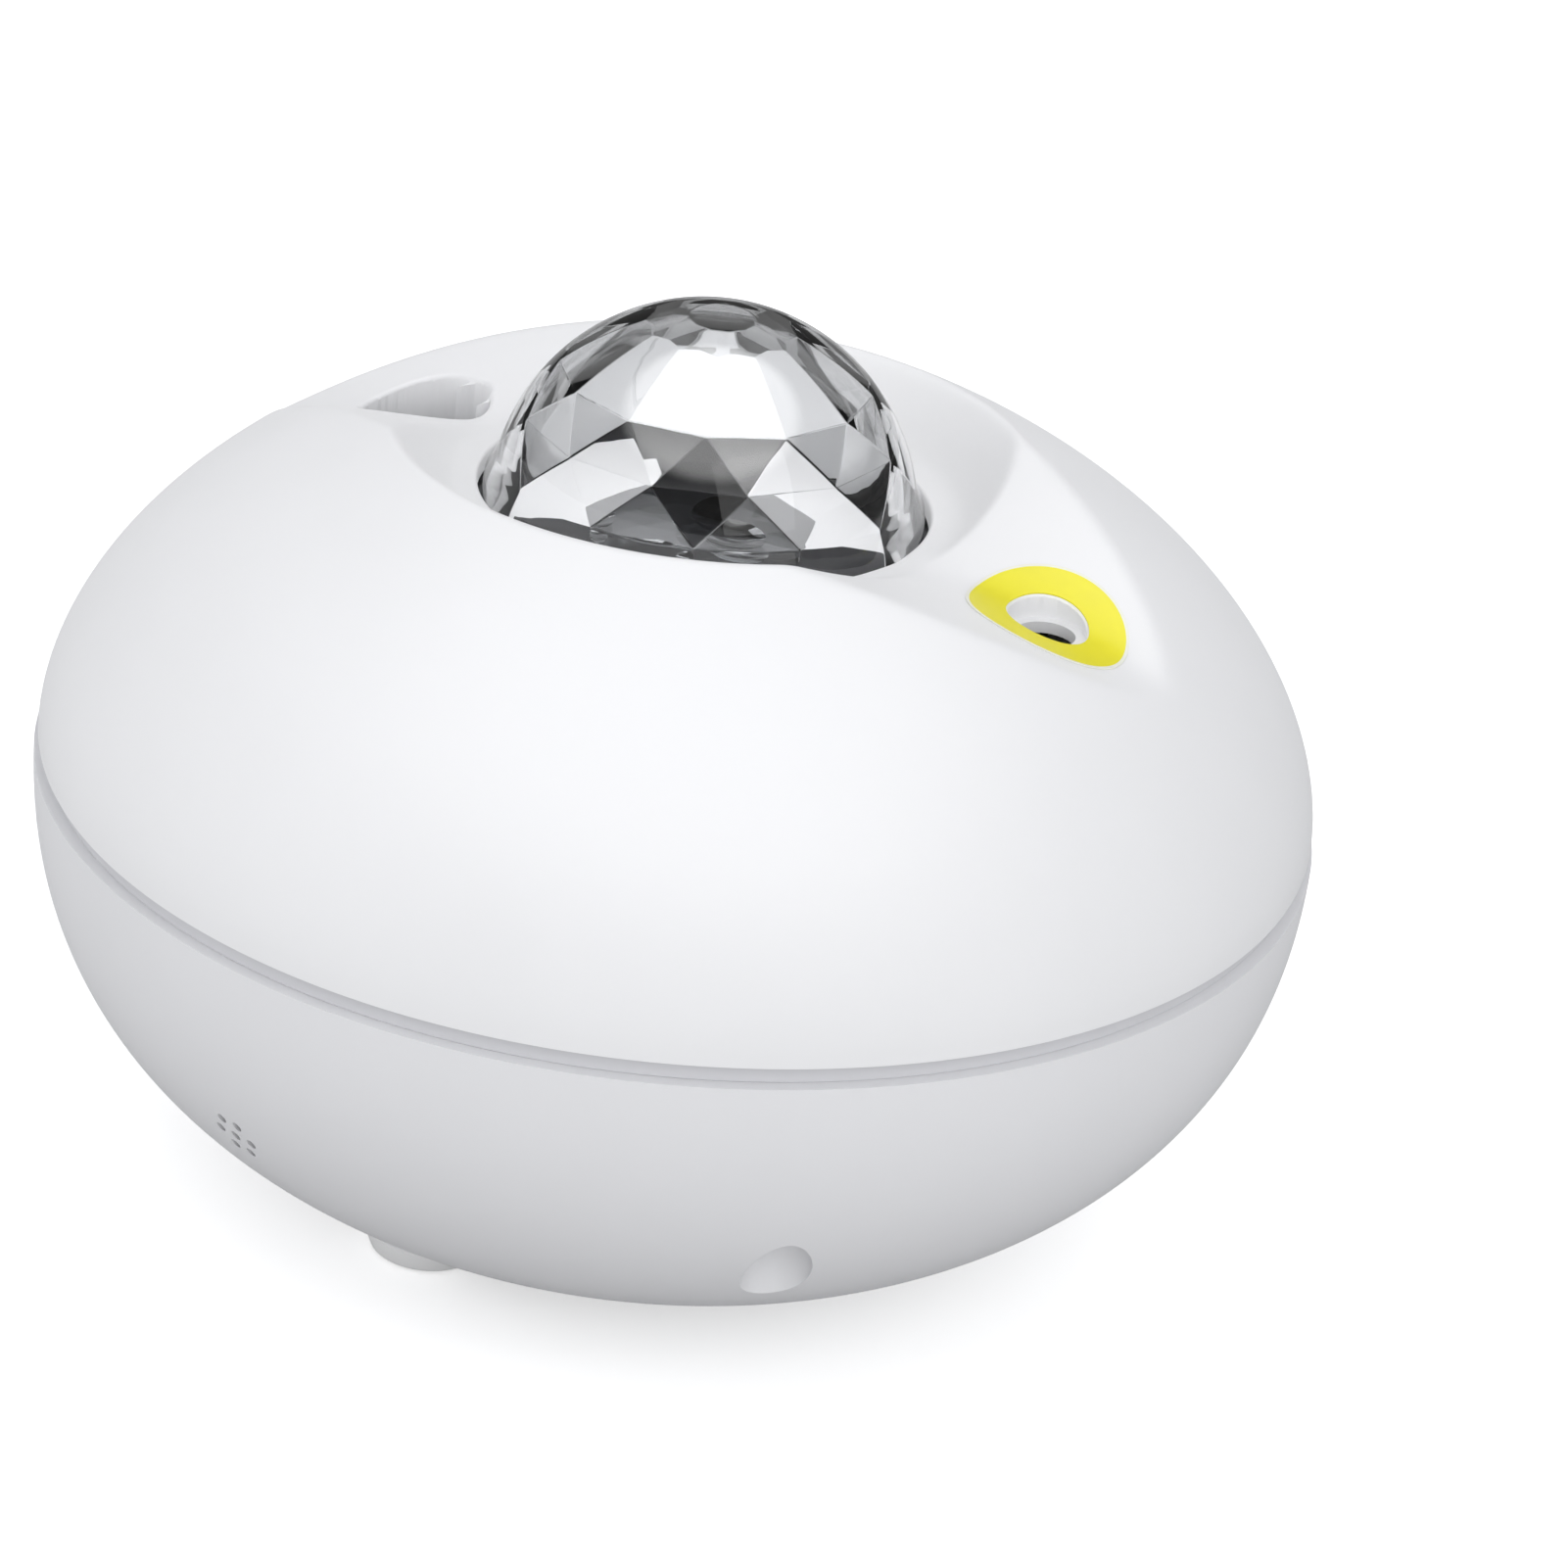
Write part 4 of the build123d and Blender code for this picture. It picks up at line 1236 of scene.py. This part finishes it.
@dataclass
class LowerCase:
    """Lower half of the case, with its screw pockets, microphone holes, stubs and feet."""

    workshop: Workshop
    paint: Paint
    wall: float = 2.2
    floor: float = -57.0
    floor_wall: float = 2.4
    floor_edge: float = 1.0         # step from the bowl's curve to its flat floor
    steps_round: int = 288
    curve_steps: int = 90
    beyond: float = 95.0            # from the axis to a cutter's end outside the case
    pocket_ring: float = 80.2
    pocket_angles: tuple[float, ...] = (37.0, 143.0, 217.0, 323.0)
    pocket_radius: float = 4.5
    pocket_mouth: float = -70.0     # a cutter's end below the bowl
    pocket_top: float = -9.0
    tube_radius: float = 6.2
    tube_top: float = -6.0
    screw_clearance: float = 1.5
    screw_foot: float = -20.0
    microphone_height: float = -29.3
    microphone_pitch: float = 2.85
    microphone_hole: float = 0.75
    microphone_back: float = -76.0
    microphone_web: float = 0.6
    seat_radius: float = 6.3
    seat_bore: float = 4.9
    seat_back: float = -73.0
    seat_step: float = 1.0          # how far the bore runs on behind the seat
    foot_ring: float = 44.4
    foot_radius: float = 8.5
    foot_angles: tuple[float, ...] = (270.0, 30.0, 150.0)
    stub_foot: float = -58.8
    stub_bury: float = 1.2          # how far a stub runs up into the floor
    feet_level: float = -62.0
    pad_rounding: float = 1.2
    pad_rounding_middle: float = 0.35
    pad_top_bevel: float = 0.4
    rear_height: float = -22.0
    rear_start: float = 78.0
    socket_x: float = -9.0
    socket_hole: float = 4.1
    button_x: float = 9.0
    button_hole: float = 3.7

    def build(self) -> None:
        """Makes the shell and the feet."""
        self.workshop.piece(self._shell(), "lower_case", self.paint.lower, "lower_white",
                            stands_for=["lower_shell"])
        self._feet()

    def _curve(self, wall: float, floor: float) -> list[Point]:
        """Section of a bowl from its rim to where it meets a flat floor.

        Args:
            wall: how far inside the outer skin the bowl lies.
            floor: height of the floor.

        Returns:
            Radius and height of each point.
        """
        points = [p for p in LOWER_CURVE.points(wall, self.curve_steps) if p[1] > floor + 0.05]
        points[0] = (points[0][0], 0.0)
        return points

    def _shell(self) -> bmesh.types.BMesh:
        """Makes the lower half's shell.

        Returns:
            A closed bowl with its tubes, its stubs and its openings.
        """
        top = self.floor + self.floor_wall
        outer, inner = self._curve(0.0, self.floor), self._curve(self.wall, top)
        outline = outer + [(outer[-1][0] - self.floor_edge, self.floor), (0.0, self.floor),
                           (0.0, top), (inner[-1][0] - self.floor_edge, top)] + inner[::-1]
        mesh = self.workshop.lathe(outline, self.steps_round)
        mesh = self.workshop.carve(mesh, self._tubes(), "UNION")
        return self.workshop.carve(mesh, self._cuts())

    def _tubes(self) -> list[bmesh.types.BMesh]:
        """Walls of the screw pockets, the foot stubs and the microphone's seat.

        Returns:
            A closed mesh for each.
        """
        tubes = [self._pocket_tube(polar(self.pocket_ring, angle)) for angle in self.pocket_angles]
        tubes += [self.workshop.rod(self.foot_radius, self.stub_foot, self.floor + self.stub_bury,
                                    polar(self.foot_ring, angle), steps=96)
                  for angle in self.foot_angles]
        return tubes + [self._microphone_space(self.seat_radius, self.wall / 2, self.seat_back)]

    def _cuts(self) -> list[bmesh.types.BMesh]:
        """Cutters for everything that is open in the shell.

        Returns:
            A closed mesh for each cut.
        """
        cuts = [self._microphone_space(self.seat_bore, self.microphone_web,
                                       self.seat_back + self.seat_step)]
        for angle in self.pocket_angles:
            place = polar(self.pocket_ring, angle)
            cuts.append(self.workshop.rod(self.pocket_radius, self.pocket_mouth, self.pocket_top,
                                          place, steps=96))
            cuts.append(self.workshop.rod(self.screw_clearance, self.screw_foot, 0.0, place,
                                          steps=32))
        for x, z in [(0.0, 0.0)] + [polar(self.microphone_pitch, 60.0 * i) for i in range(6)]:
            cuts.append(self.workshop.rod_y(self.microphone_hole, -self.beyond,
                                            self.microphone_back,
                                            (x, self.microphone_height + z), steps=24))
        for radius, x in ((self.socket_hole, self.socket_x), (self.button_hole, self.button_x)):
            cuts.append(self.workshop.rod_y(radius, self.rear_start, self.beyond,
                                            (x, self.rear_height)))
        return cuts

    def _pocket_tube(self, place: Point) -> bmesh.types.BMesh:
        """Wall round a screw pocket, from inside the bowl's wall up to the boss joint.

        Args:
            place: plan position of the pocket.

        Returns:
            A closed mesh.
        """
        mesh = self.workshop.rod(self.tube_radius, self.floor, self.tube_top, place, steps=96)
        for vert in mesh.verts:
            if vert.co.z < self.tube_top - 1:
                skin = LOWER_CURVE.height(np.hypot(vert.co.x, vert.co.y))
                vert.co.z = float(skin) + self.wall / 2
        return mesh

    def _microphone_space(self, radius: float, depth: float, back: float) -> bmesh.types.BMesh:
        """Rod along Y behind the microphone holes, whose front follows the bowl's skin.

        Args:
            radius: the rod's radius.
            depth: how far under the skin its front lies.
            back: where its plain end lies on Y.

        Returns:
            A closed mesh.
        """
        rod = self.workshop.rod_y(radius, -self.beyond, back, (0.0, self.microphone_height))
        core = self._curve(depth, self.floor)
        bowl = self.workshop.lathe(core + [(0.0, self.floor), (0.0, 0.0)], self.steps_round)
        return self.workshop.carve(rod, [bowl], "INTERSECT")

    def _feet(self) -> None:
        """Three soft pads with rounded edges."""
        radius, low, high = self.foot_radius, self.feet_level, self.stub_foot
        middle, bevel = self.pad_rounding_middle, self.pad_top_bevel
        outline = [(0.0, low), (radius - self.pad_rounding, low), (radius - middle, low + middle),
                   (radius, low + self.pad_rounding), (radius, high - bevel),
                   (radius - bevel, high), (0.0, high)]
        pads = [self.workshop.lathe(outline, steps=72, centre=polar(self.foot_ring, angle))
                for angle in self.foot_angles]
        self.workshop.piece(self.workshop.joined(pads), "foot_pads", self.paint.rubber,
                            "foot_rubber", stands_for=["feet"])


@dataclass
class SeamBand:
    """Recessed band between the two halves, with a tongue into each."""

    workshop: Workshop
    paint: Paint
    outer: float = 88.3
    inner: float = 85.2
    gap: float = 2.67
    lower_tongue: float = 87.3
    upper_tongue: float = 86.9
    foot: float = -3.0
    top: float = 5.5
    bevel: float = 0.15
    steps_round: int = 360

    def build(self) -> None:
        """Makes the band."""
        outline = [(self.inner, self.foot), (self.lower_tongue, self.foot),
                   (self.lower_tongue, 0.0), (self.outer - self.bevel, 0.0),
                   (self.outer, self.bevel), (self.outer, self.gap - self.bevel),
                   (self.outer - self.bevel, self.gap), (self.upper_tongue, self.gap),
                   (self.upper_tongue, self.top), (self.inner, self.top)]
        mesh = self.workshop.lathe(outline, self.steps_round)
        self.workshop.piece(mesh, "band", self.paint.band, "band_grey",
                            stands_for=["seam_ring"])


@dataclass
class Dome:
    """Clear dome: smooth outside, faceted inside, clamped by a dark plate."""

    workshop: Workshop
    paint: Paint
    radius: float = 29.6
    centre: float = 38.1
    inside: float = 26.6            # from the centre to the facets, but for each ring's share
    cap: float = 27.03              # from the centre to the topmost facet
    hollow_radius: float = 28.4
    flange_radius: float = 34.5
    flange_foot: float = 36.3
    flange_top: float = 38.0
    base_section: tuple[Point, ...] = ((30.6, 38.0), (30.5, 38.8), (30.5, 40.0), (30.25, 42.0))
    cap_foot: float = 44.5
    cap_steps: int = 64
    steps_round: int = 192
    facets: int = 12
    facet_turn: float = 7.5
    # each ring of facets: lean in degrees, stagger in facets, share of the distance inside
    rings: tuple[tuple[float, float, float], ...] = (
        (15.0, 0.0, 1.0232), (34.0, 0.5, 0.9955), (52.3, 0.5, 1.0114), (62.25, 0.0, 1.0),
        (75.2, 0.5, 1.0025))
    facet_rounding: float = 0.22
    facet_crease: float = 8.0       # least angle of an edge that is rounded

    def build(self) -> None:
        """Makes the dome."""
        mesh = self.workshop.carve(self._outside(), [self._hollow()])
        self.workshop.piece(mesh, "clear_dome", self.paint.dome, "clear_dome",
                            stands_for=["dome_lens"], crease=30.0)

    def _outside(self) -> bmesh.types.BMesh:
        """Solid of the dome's smooth outer form.

        Returns:
            A closed mesh.
        """
        start = math.acos((self.cap_foot - self.centre) / self.radius)
        cap = [(self.radius * math.sin(a), self.centre + self.radius * math.cos(a))
               for a in np.linspace(start, 0.0, self.cap_steps)]
        outline = [(0.0, self.flange_foot), (self.flange_radius, self.flange_foot),
                   (self.flange_radius, self.flange_top), *self.base_section, *cap]
        return self.workshop.lathe(outline, self.steps_round, closed=False)

    def _hollow(self) -> bmesh.types.BMesh:
        """Faceted space inside the dome, cut plane by plane from a cylinder.

        Returns:
            A closed mesh.
        """
        low, high = self.flange_foot - 1.0, self.centre + self.cap
        mesh = self.workshop.rod(self.hollow_radius, low, high, (0.0, 0.0), self.steps_round)
        for lean, stagger, share in self.rings:
            for i in range(self.facets):
                azimuth = math.radians(self.facet_turn + (i + stagger) * 360.0 / self.facets)
                tilt = math.radians(lean)
                normal = Vector((math.sin(tilt) * math.cos(azimuth),
                                 math.sin(tilt) * math.sin(azimuth), math.cos(tilt)))
                spot = Vector((0, 0, self.centre)) + normal * self.inside * share
                self._slice(mesh, spot, normal)
        least = math.radians(self.facet_crease)
        sharp = [e for e in mesh.edges if e.calc_face_angle(0.0) > least
                 and min(v.co.z for v in e.verts) > self.flange_foot]
        bmesh.ops.bevel(mesh, geom=sharp, offset=self.facet_rounding, offset_type="OFFSET",
                        segments=2, profile=0.5, affect="EDGES", material=-1)
        bmesh.ops.recalc_face_normals(mesh, faces=mesh.faces)
        return mesh

    @staticmethod
    def _slice(mesh: bmesh.types.BMesh, spot: Vector, normal: Vector) -> None:
        """Cuts everything beyond a plane away and closes the cut.

        Args:
            mesh: the mesh.
            spot: a point on the plane.
            normal: the plane's direction, towards what is cut away.
        """
        geometry = list(mesh.verts) + list(mesh.edges) + list(mesh.faces)
        cut = bmesh.ops.bisect_plane(mesh, geom=geometry, plane_co=spot, plane_no=normal,
                                     dist=1e-5, clear_outer=True)
        edges = [e for e in cut["geom_cut"] if isinstance(e, bmesh.types.BMEdge)
                 and e.is_boundary]
        if edges:
            bmesh.ops.contextual_create(mesh, geom=edges)


# ---------------------------------------------------------------- carried-over pieces


class CarriedOver:
    """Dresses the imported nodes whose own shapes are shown."""

    def __init__(self, paint: Paint) -> None:
        """Keeps which finish each node takes.

        Args:
            paint: every finish.
        """
        self.finishes = {
            "dome_retainer": paint.clamp, "ripple_gear": paint.gear, "ripple_lens": paint.lens,
            "motor_pinion": paint.gear, "motor_shaft": paint.steel, "gear_motor": paint.steel,
            "grating_gear": paint.gear, "grating_film": paint.film,
            "laser_holder": paint.black, "laser_module": paint.brass,
            "optics_deck": paint.deck, "heat_sink": paint.aluminium,
            "led_board": paint.white_board, "led_chips": paint.phosphor,
            "led_holder": paint.black, "collimator_lens": paint.lens,
            "moon_tube": paint.black, "moon_lens": paint.lens, "moon_board": paint.white_board,
            "main_board": paint.green_board, "board_parts": paint.epoxy,
            "wire_sockets": paint.nylon, "microphone": paint.capsule,
            "ir_receiver": paint.epoxy, "power_socket": paint.epoxy,
            "button_switch": paint.epoxy, "mode_button": paint.button,
            "case_screws": paint.zinc, "deck_screws": paint.zinc, "retainer_screws": paint.zinc,
            "heat_sink_screws": paint.zinc, "optics_screws": paint.zinc,
            "motor_screws": paint.zinc, "board_screws": paint.zinc,
        }

    def dress(self) -> None:
        """Gives every shown node its finish."""
        for name, finish in self.finishes.items():
            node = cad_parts[name]
            node.data.materials.clear()
            node.data.materials.append(finish)
            LOG.info("%s: %s", name, finish.name)


# ---------------------------------------------------------------- studio


@dataclass(frozen=True)
class SoftBox:
    """Square area lamp: its place in metres, power in watts, and whether gloss mirrors it."""

    name: str
    place: tuple[float, float, float]
    power: float
    mirrored: bool
    size: float = 0.9


@dataclass(frozen=True)
class Studio:
    """Camera, lamps, world and floor round the object."""

    distance: float = 0.583         # of the camera from the aim, in metres
    azimuth: float = 39.0           # of the camera, in degrees from -Y towards +X
    elevation: float = 26.05
    roll: float = 5.89
    aim: tuple[float, float, float] = (0.0, 0.0, 0.062)
    lens: float = 94.54
    sensor: float = 36.0
    shift: Point = (0.0683, -0.0151)
    room: float = 0.78              # strengths of the room, the panel and the horizon
    panel: float = 4.6
    horizon: float = 0.12
    room_colour: Colour = (0.97, 0.98, 1.0)
    panel_axis: tuple[float, float, float] = (0.10, -0.13, 0.986)
    panel_spread: float = 40.0      # half angle of the panel, and of its soft edge
    panel_edge: float = 5.0
    floor_radius: float = 3.0       # in metres
    floor_seen: Colour = (0.9, 0.9, 0.9)
    floor_bounce: Colour = (0.5, 0.5, 0.5)
    floor_lift: float = 0.45        # glow that the camera alone sees
    boxes: tuple[SoftBox, ...] = (SoftBox("right_box", (1.0, -0.35, 0.75), 2.9, True),
                                  SoftBox("back_box", (-0.6, 0.8, 0.8), 2.4, False),
                                  SoftBox("low_front_box", (0.75, -1.0, 0.2), 3.7, False),
                                  SoftBox("low_left_box", (-1.0, -0.7, 0.25), 3.6, False))

    def build(self) -> None:
        """Sets up everything that isn't the object."""
        scene = bpy.context.scene
        scene.view_settings.view_transform = "Standard"
        self._camera(scene)
        self._world(scene)
        self._floor()
        self._lamps()

    def _camera(self, scene: bpy.types.Scene) -> None:
        """Camera at the front right, tilted a little.

        Args:
            scene: the scene that it looks at.
        """
        data = bpy.data.cameras.new("camera")
        data.lens = self.lens
        data.sensor_width = self.sensor
        data.shift_x, data.shift_y = self.shift
        data.clip_start = 0.01
        camera = bpy.data.objects.new("camera", data)
        scene.collection.objects.link(camera)
        turn, rise = math.radians(self.azimuth), math.radians(self.elevation)
        back = Vector((math.sin(turn) * math.cos(rise), -math.cos(turn) * math.cos(rise),
                       math.sin(rise)))
        camera.location = Vector(self.aim) + back * self.distance
        level = (-back).to_track_quat("-Z", "Y").to_matrix()
        camera.matrix_world = (Matrix.Translation(camera.location)
                               @ (level @ Matrix.Rotation(math.radians(self.roll), 3, "Z"))
                               .to_4x4())
        scene.camera = camera

    def _world(self, scene: bpy.types.Scene) -> None:
        """Soft room, seen as white.

        Gloss and clear pieces show a panel overhead and a dim horizon in it. Light that has
        bounced off a matt surface finds the room's own level there at least.

        Args:
            scene: the scene that the room is round.
        """
        world = bpy.data.worlds.new("studio")
        world.use_nodes = True
        nodes = Nodes(world.node_tree)
        world.node_tree.nodes.clear()
        path = nodes.add("ShaderNodeLightPath")
        mirrored = nodes.maths("MAXIMUM", path.outputs["Is Glossy Ray"],
                               path.outputs["Is Transmission Ray"])
        direction = nodes.add("ShaderNodeTexCoord")
        towards = nodes.add("ShaderNodeVectorMath", operation="DOT_PRODUCT")
        towards.inputs[1].default_value = self.panel_axis
        edge = nodes.add("ShaderNodeMapRange", interpolation_type="SMOOTHSTEP")
        widest, narrowest = (math.cos(math.radians(self.panel_spread + side * self.panel_edge))
                             for side in (1, -1))
        edge.inputs["From Min"].default_value = widest
        edge.inputs["From Max"].default_value = narrowest
        edge.inputs["To Min"].default_value = self.horizon
        edge.inputs["To Max"].default_value = self.panel
        nodes.link(direction.outputs["Generated"], towards.inputs[0])
        nodes.link(towards.outputs["Value"], edge.inputs["Value"])
        light = nodes.add("ShaderNodeBackground")
        light.inputs["Color"].default_value = (*self.room_colour, 1.0)
        light.inputs["Strength"].default_value = self.room
        reflected = nodes.add("ShaderNodeBackground")
        bounced = nodes.maths("GREATER_THAN", path.outputs["Diffuse Depth"], 0.5)
        least = nodes.maths("MULTIPLY", bounced, self.room)
        nodes.link(nodes.maths("MAXIMUM", edge.outputs["Result"], least),
                   reflected.inputs["Strength"])
        white = nodes.add("ShaderNodeBackground")
        for shader in (reflected, white):
            shader.inputs["Color"].default_value = (1.0, 1.0, 1.0, 1.0)
        inner = nodes.add("ShaderNodeMixShader")
        nodes.link(mirrored, inner.inputs[0])
        nodes.link(light.outputs[0], inner.inputs[1])
        nodes.link(reflected.outputs[0], inner.inputs[2])
        outer = nodes.add("ShaderNodeMixShader")
        nodes.link(path.outputs["Is Camera Ray"], outer.inputs[0])
        nodes.link(inner.outputs[0], outer.inputs[1])
        nodes.link(white.outputs[0], outer.inputs[2])
        output = nodes.add("ShaderNodeOutputWorld")
        nodes.link(outer.outputs[0], output.inputs["Surface"])
        scene.world = world

    def _floor(self) -> None:
        """Wide white floor that keeps the object's shadow, and is grey for bounced light."""
        mesh = bmesh.new()
        bmesh.ops.create_circle(mesh, cap_ends=True, segments=96, radius=self.floor_radius)
        floor = Workshop.solid(mesh, "floor")
        material = bpy.data.materials.new("floor_white")
        material.use_nodes = True
        material.node_tree.nodes.clear()
        nodes = Nodes(material.node_tree)
        matt = nodes.add("ShaderNodeBsdfDiffuse")
        matt.inputs["Color"].default_value = (*self.floor_seen, 1.0)
        dull = nodes.add("ShaderNodeBsdfDiffuse")
        dull.inputs["Color"].default_value = (*self.floor_bounce, 1.0)
        cover = nodes.add("ShaderNodeMixShader")
        glow = nodes.add("ShaderNodeEmission")
        path = nodes.add("ShaderNodeLightPath")
        seen = path.outputs["Is Camera Ray"]
        nodes.link(nodes.maths("MULTIPLY", seen, self.floor_lift), glow.inputs["Strength"])
        both = nodes.add("ShaderNodeAddShader")
        output = nodes.add("ShaderNodeOutputMaterial")
        nodes.link(seen, cover.inputs[0])
        nodes.link(dull.outputs[0], cover.inputs[1])
        nodes.link(matt.outputs[0], cover.inputs[2])
        nodes.link(cover.outputs[0], both.inputs[0])
        nodes.link(glow.outputs[0], both.inputs[1])
        nodes.link(both.outputs[0], output.inputs["Surface"])
        floor.data.materials.append(material)

    def _lamps(self) -> None:
        """Soft boxes above the object and low in front of it, all turned to its middle."""
        for box in self.boxes:
            data = bpy.data.lights.new(box.name, "AREA")
            data.shape = "SQUARE"
            data.size = box.size
            data.energy = box.power
            lamp = bpy.data.objects.new(box.name, data)
            bpy.context.scene.collection.objects.link(lamp)
            lamp.visible_glossy = box.mirrored
            lamp.visible_transmission = box.mirrored
            lamp.location = box.place
            aim = Vector(self.aim) - Vector(box.place)
            lamp.rotation_euler = aim.to_track_quat("-Z", "Y").to_euler()


# ---------------------------------------------------------------- assembly


def main() -> None:
    """Builds the object and the studio."""
    logging.basicConfig(level=logging.INFO, format="%(name)s: %(message)s")
    Studio().build()
    paint = Paint.mix()
    workshop = Workshop()
    for assembly in (UpperCase(workshop, paint), LowerCase(workshop, paint),
                     SeamBand(workshop, paint), Dome(workshop, paint)):
        assembly.build()
    CarriedOver(paint).dress()


if __name__ == "__main__":
    main()
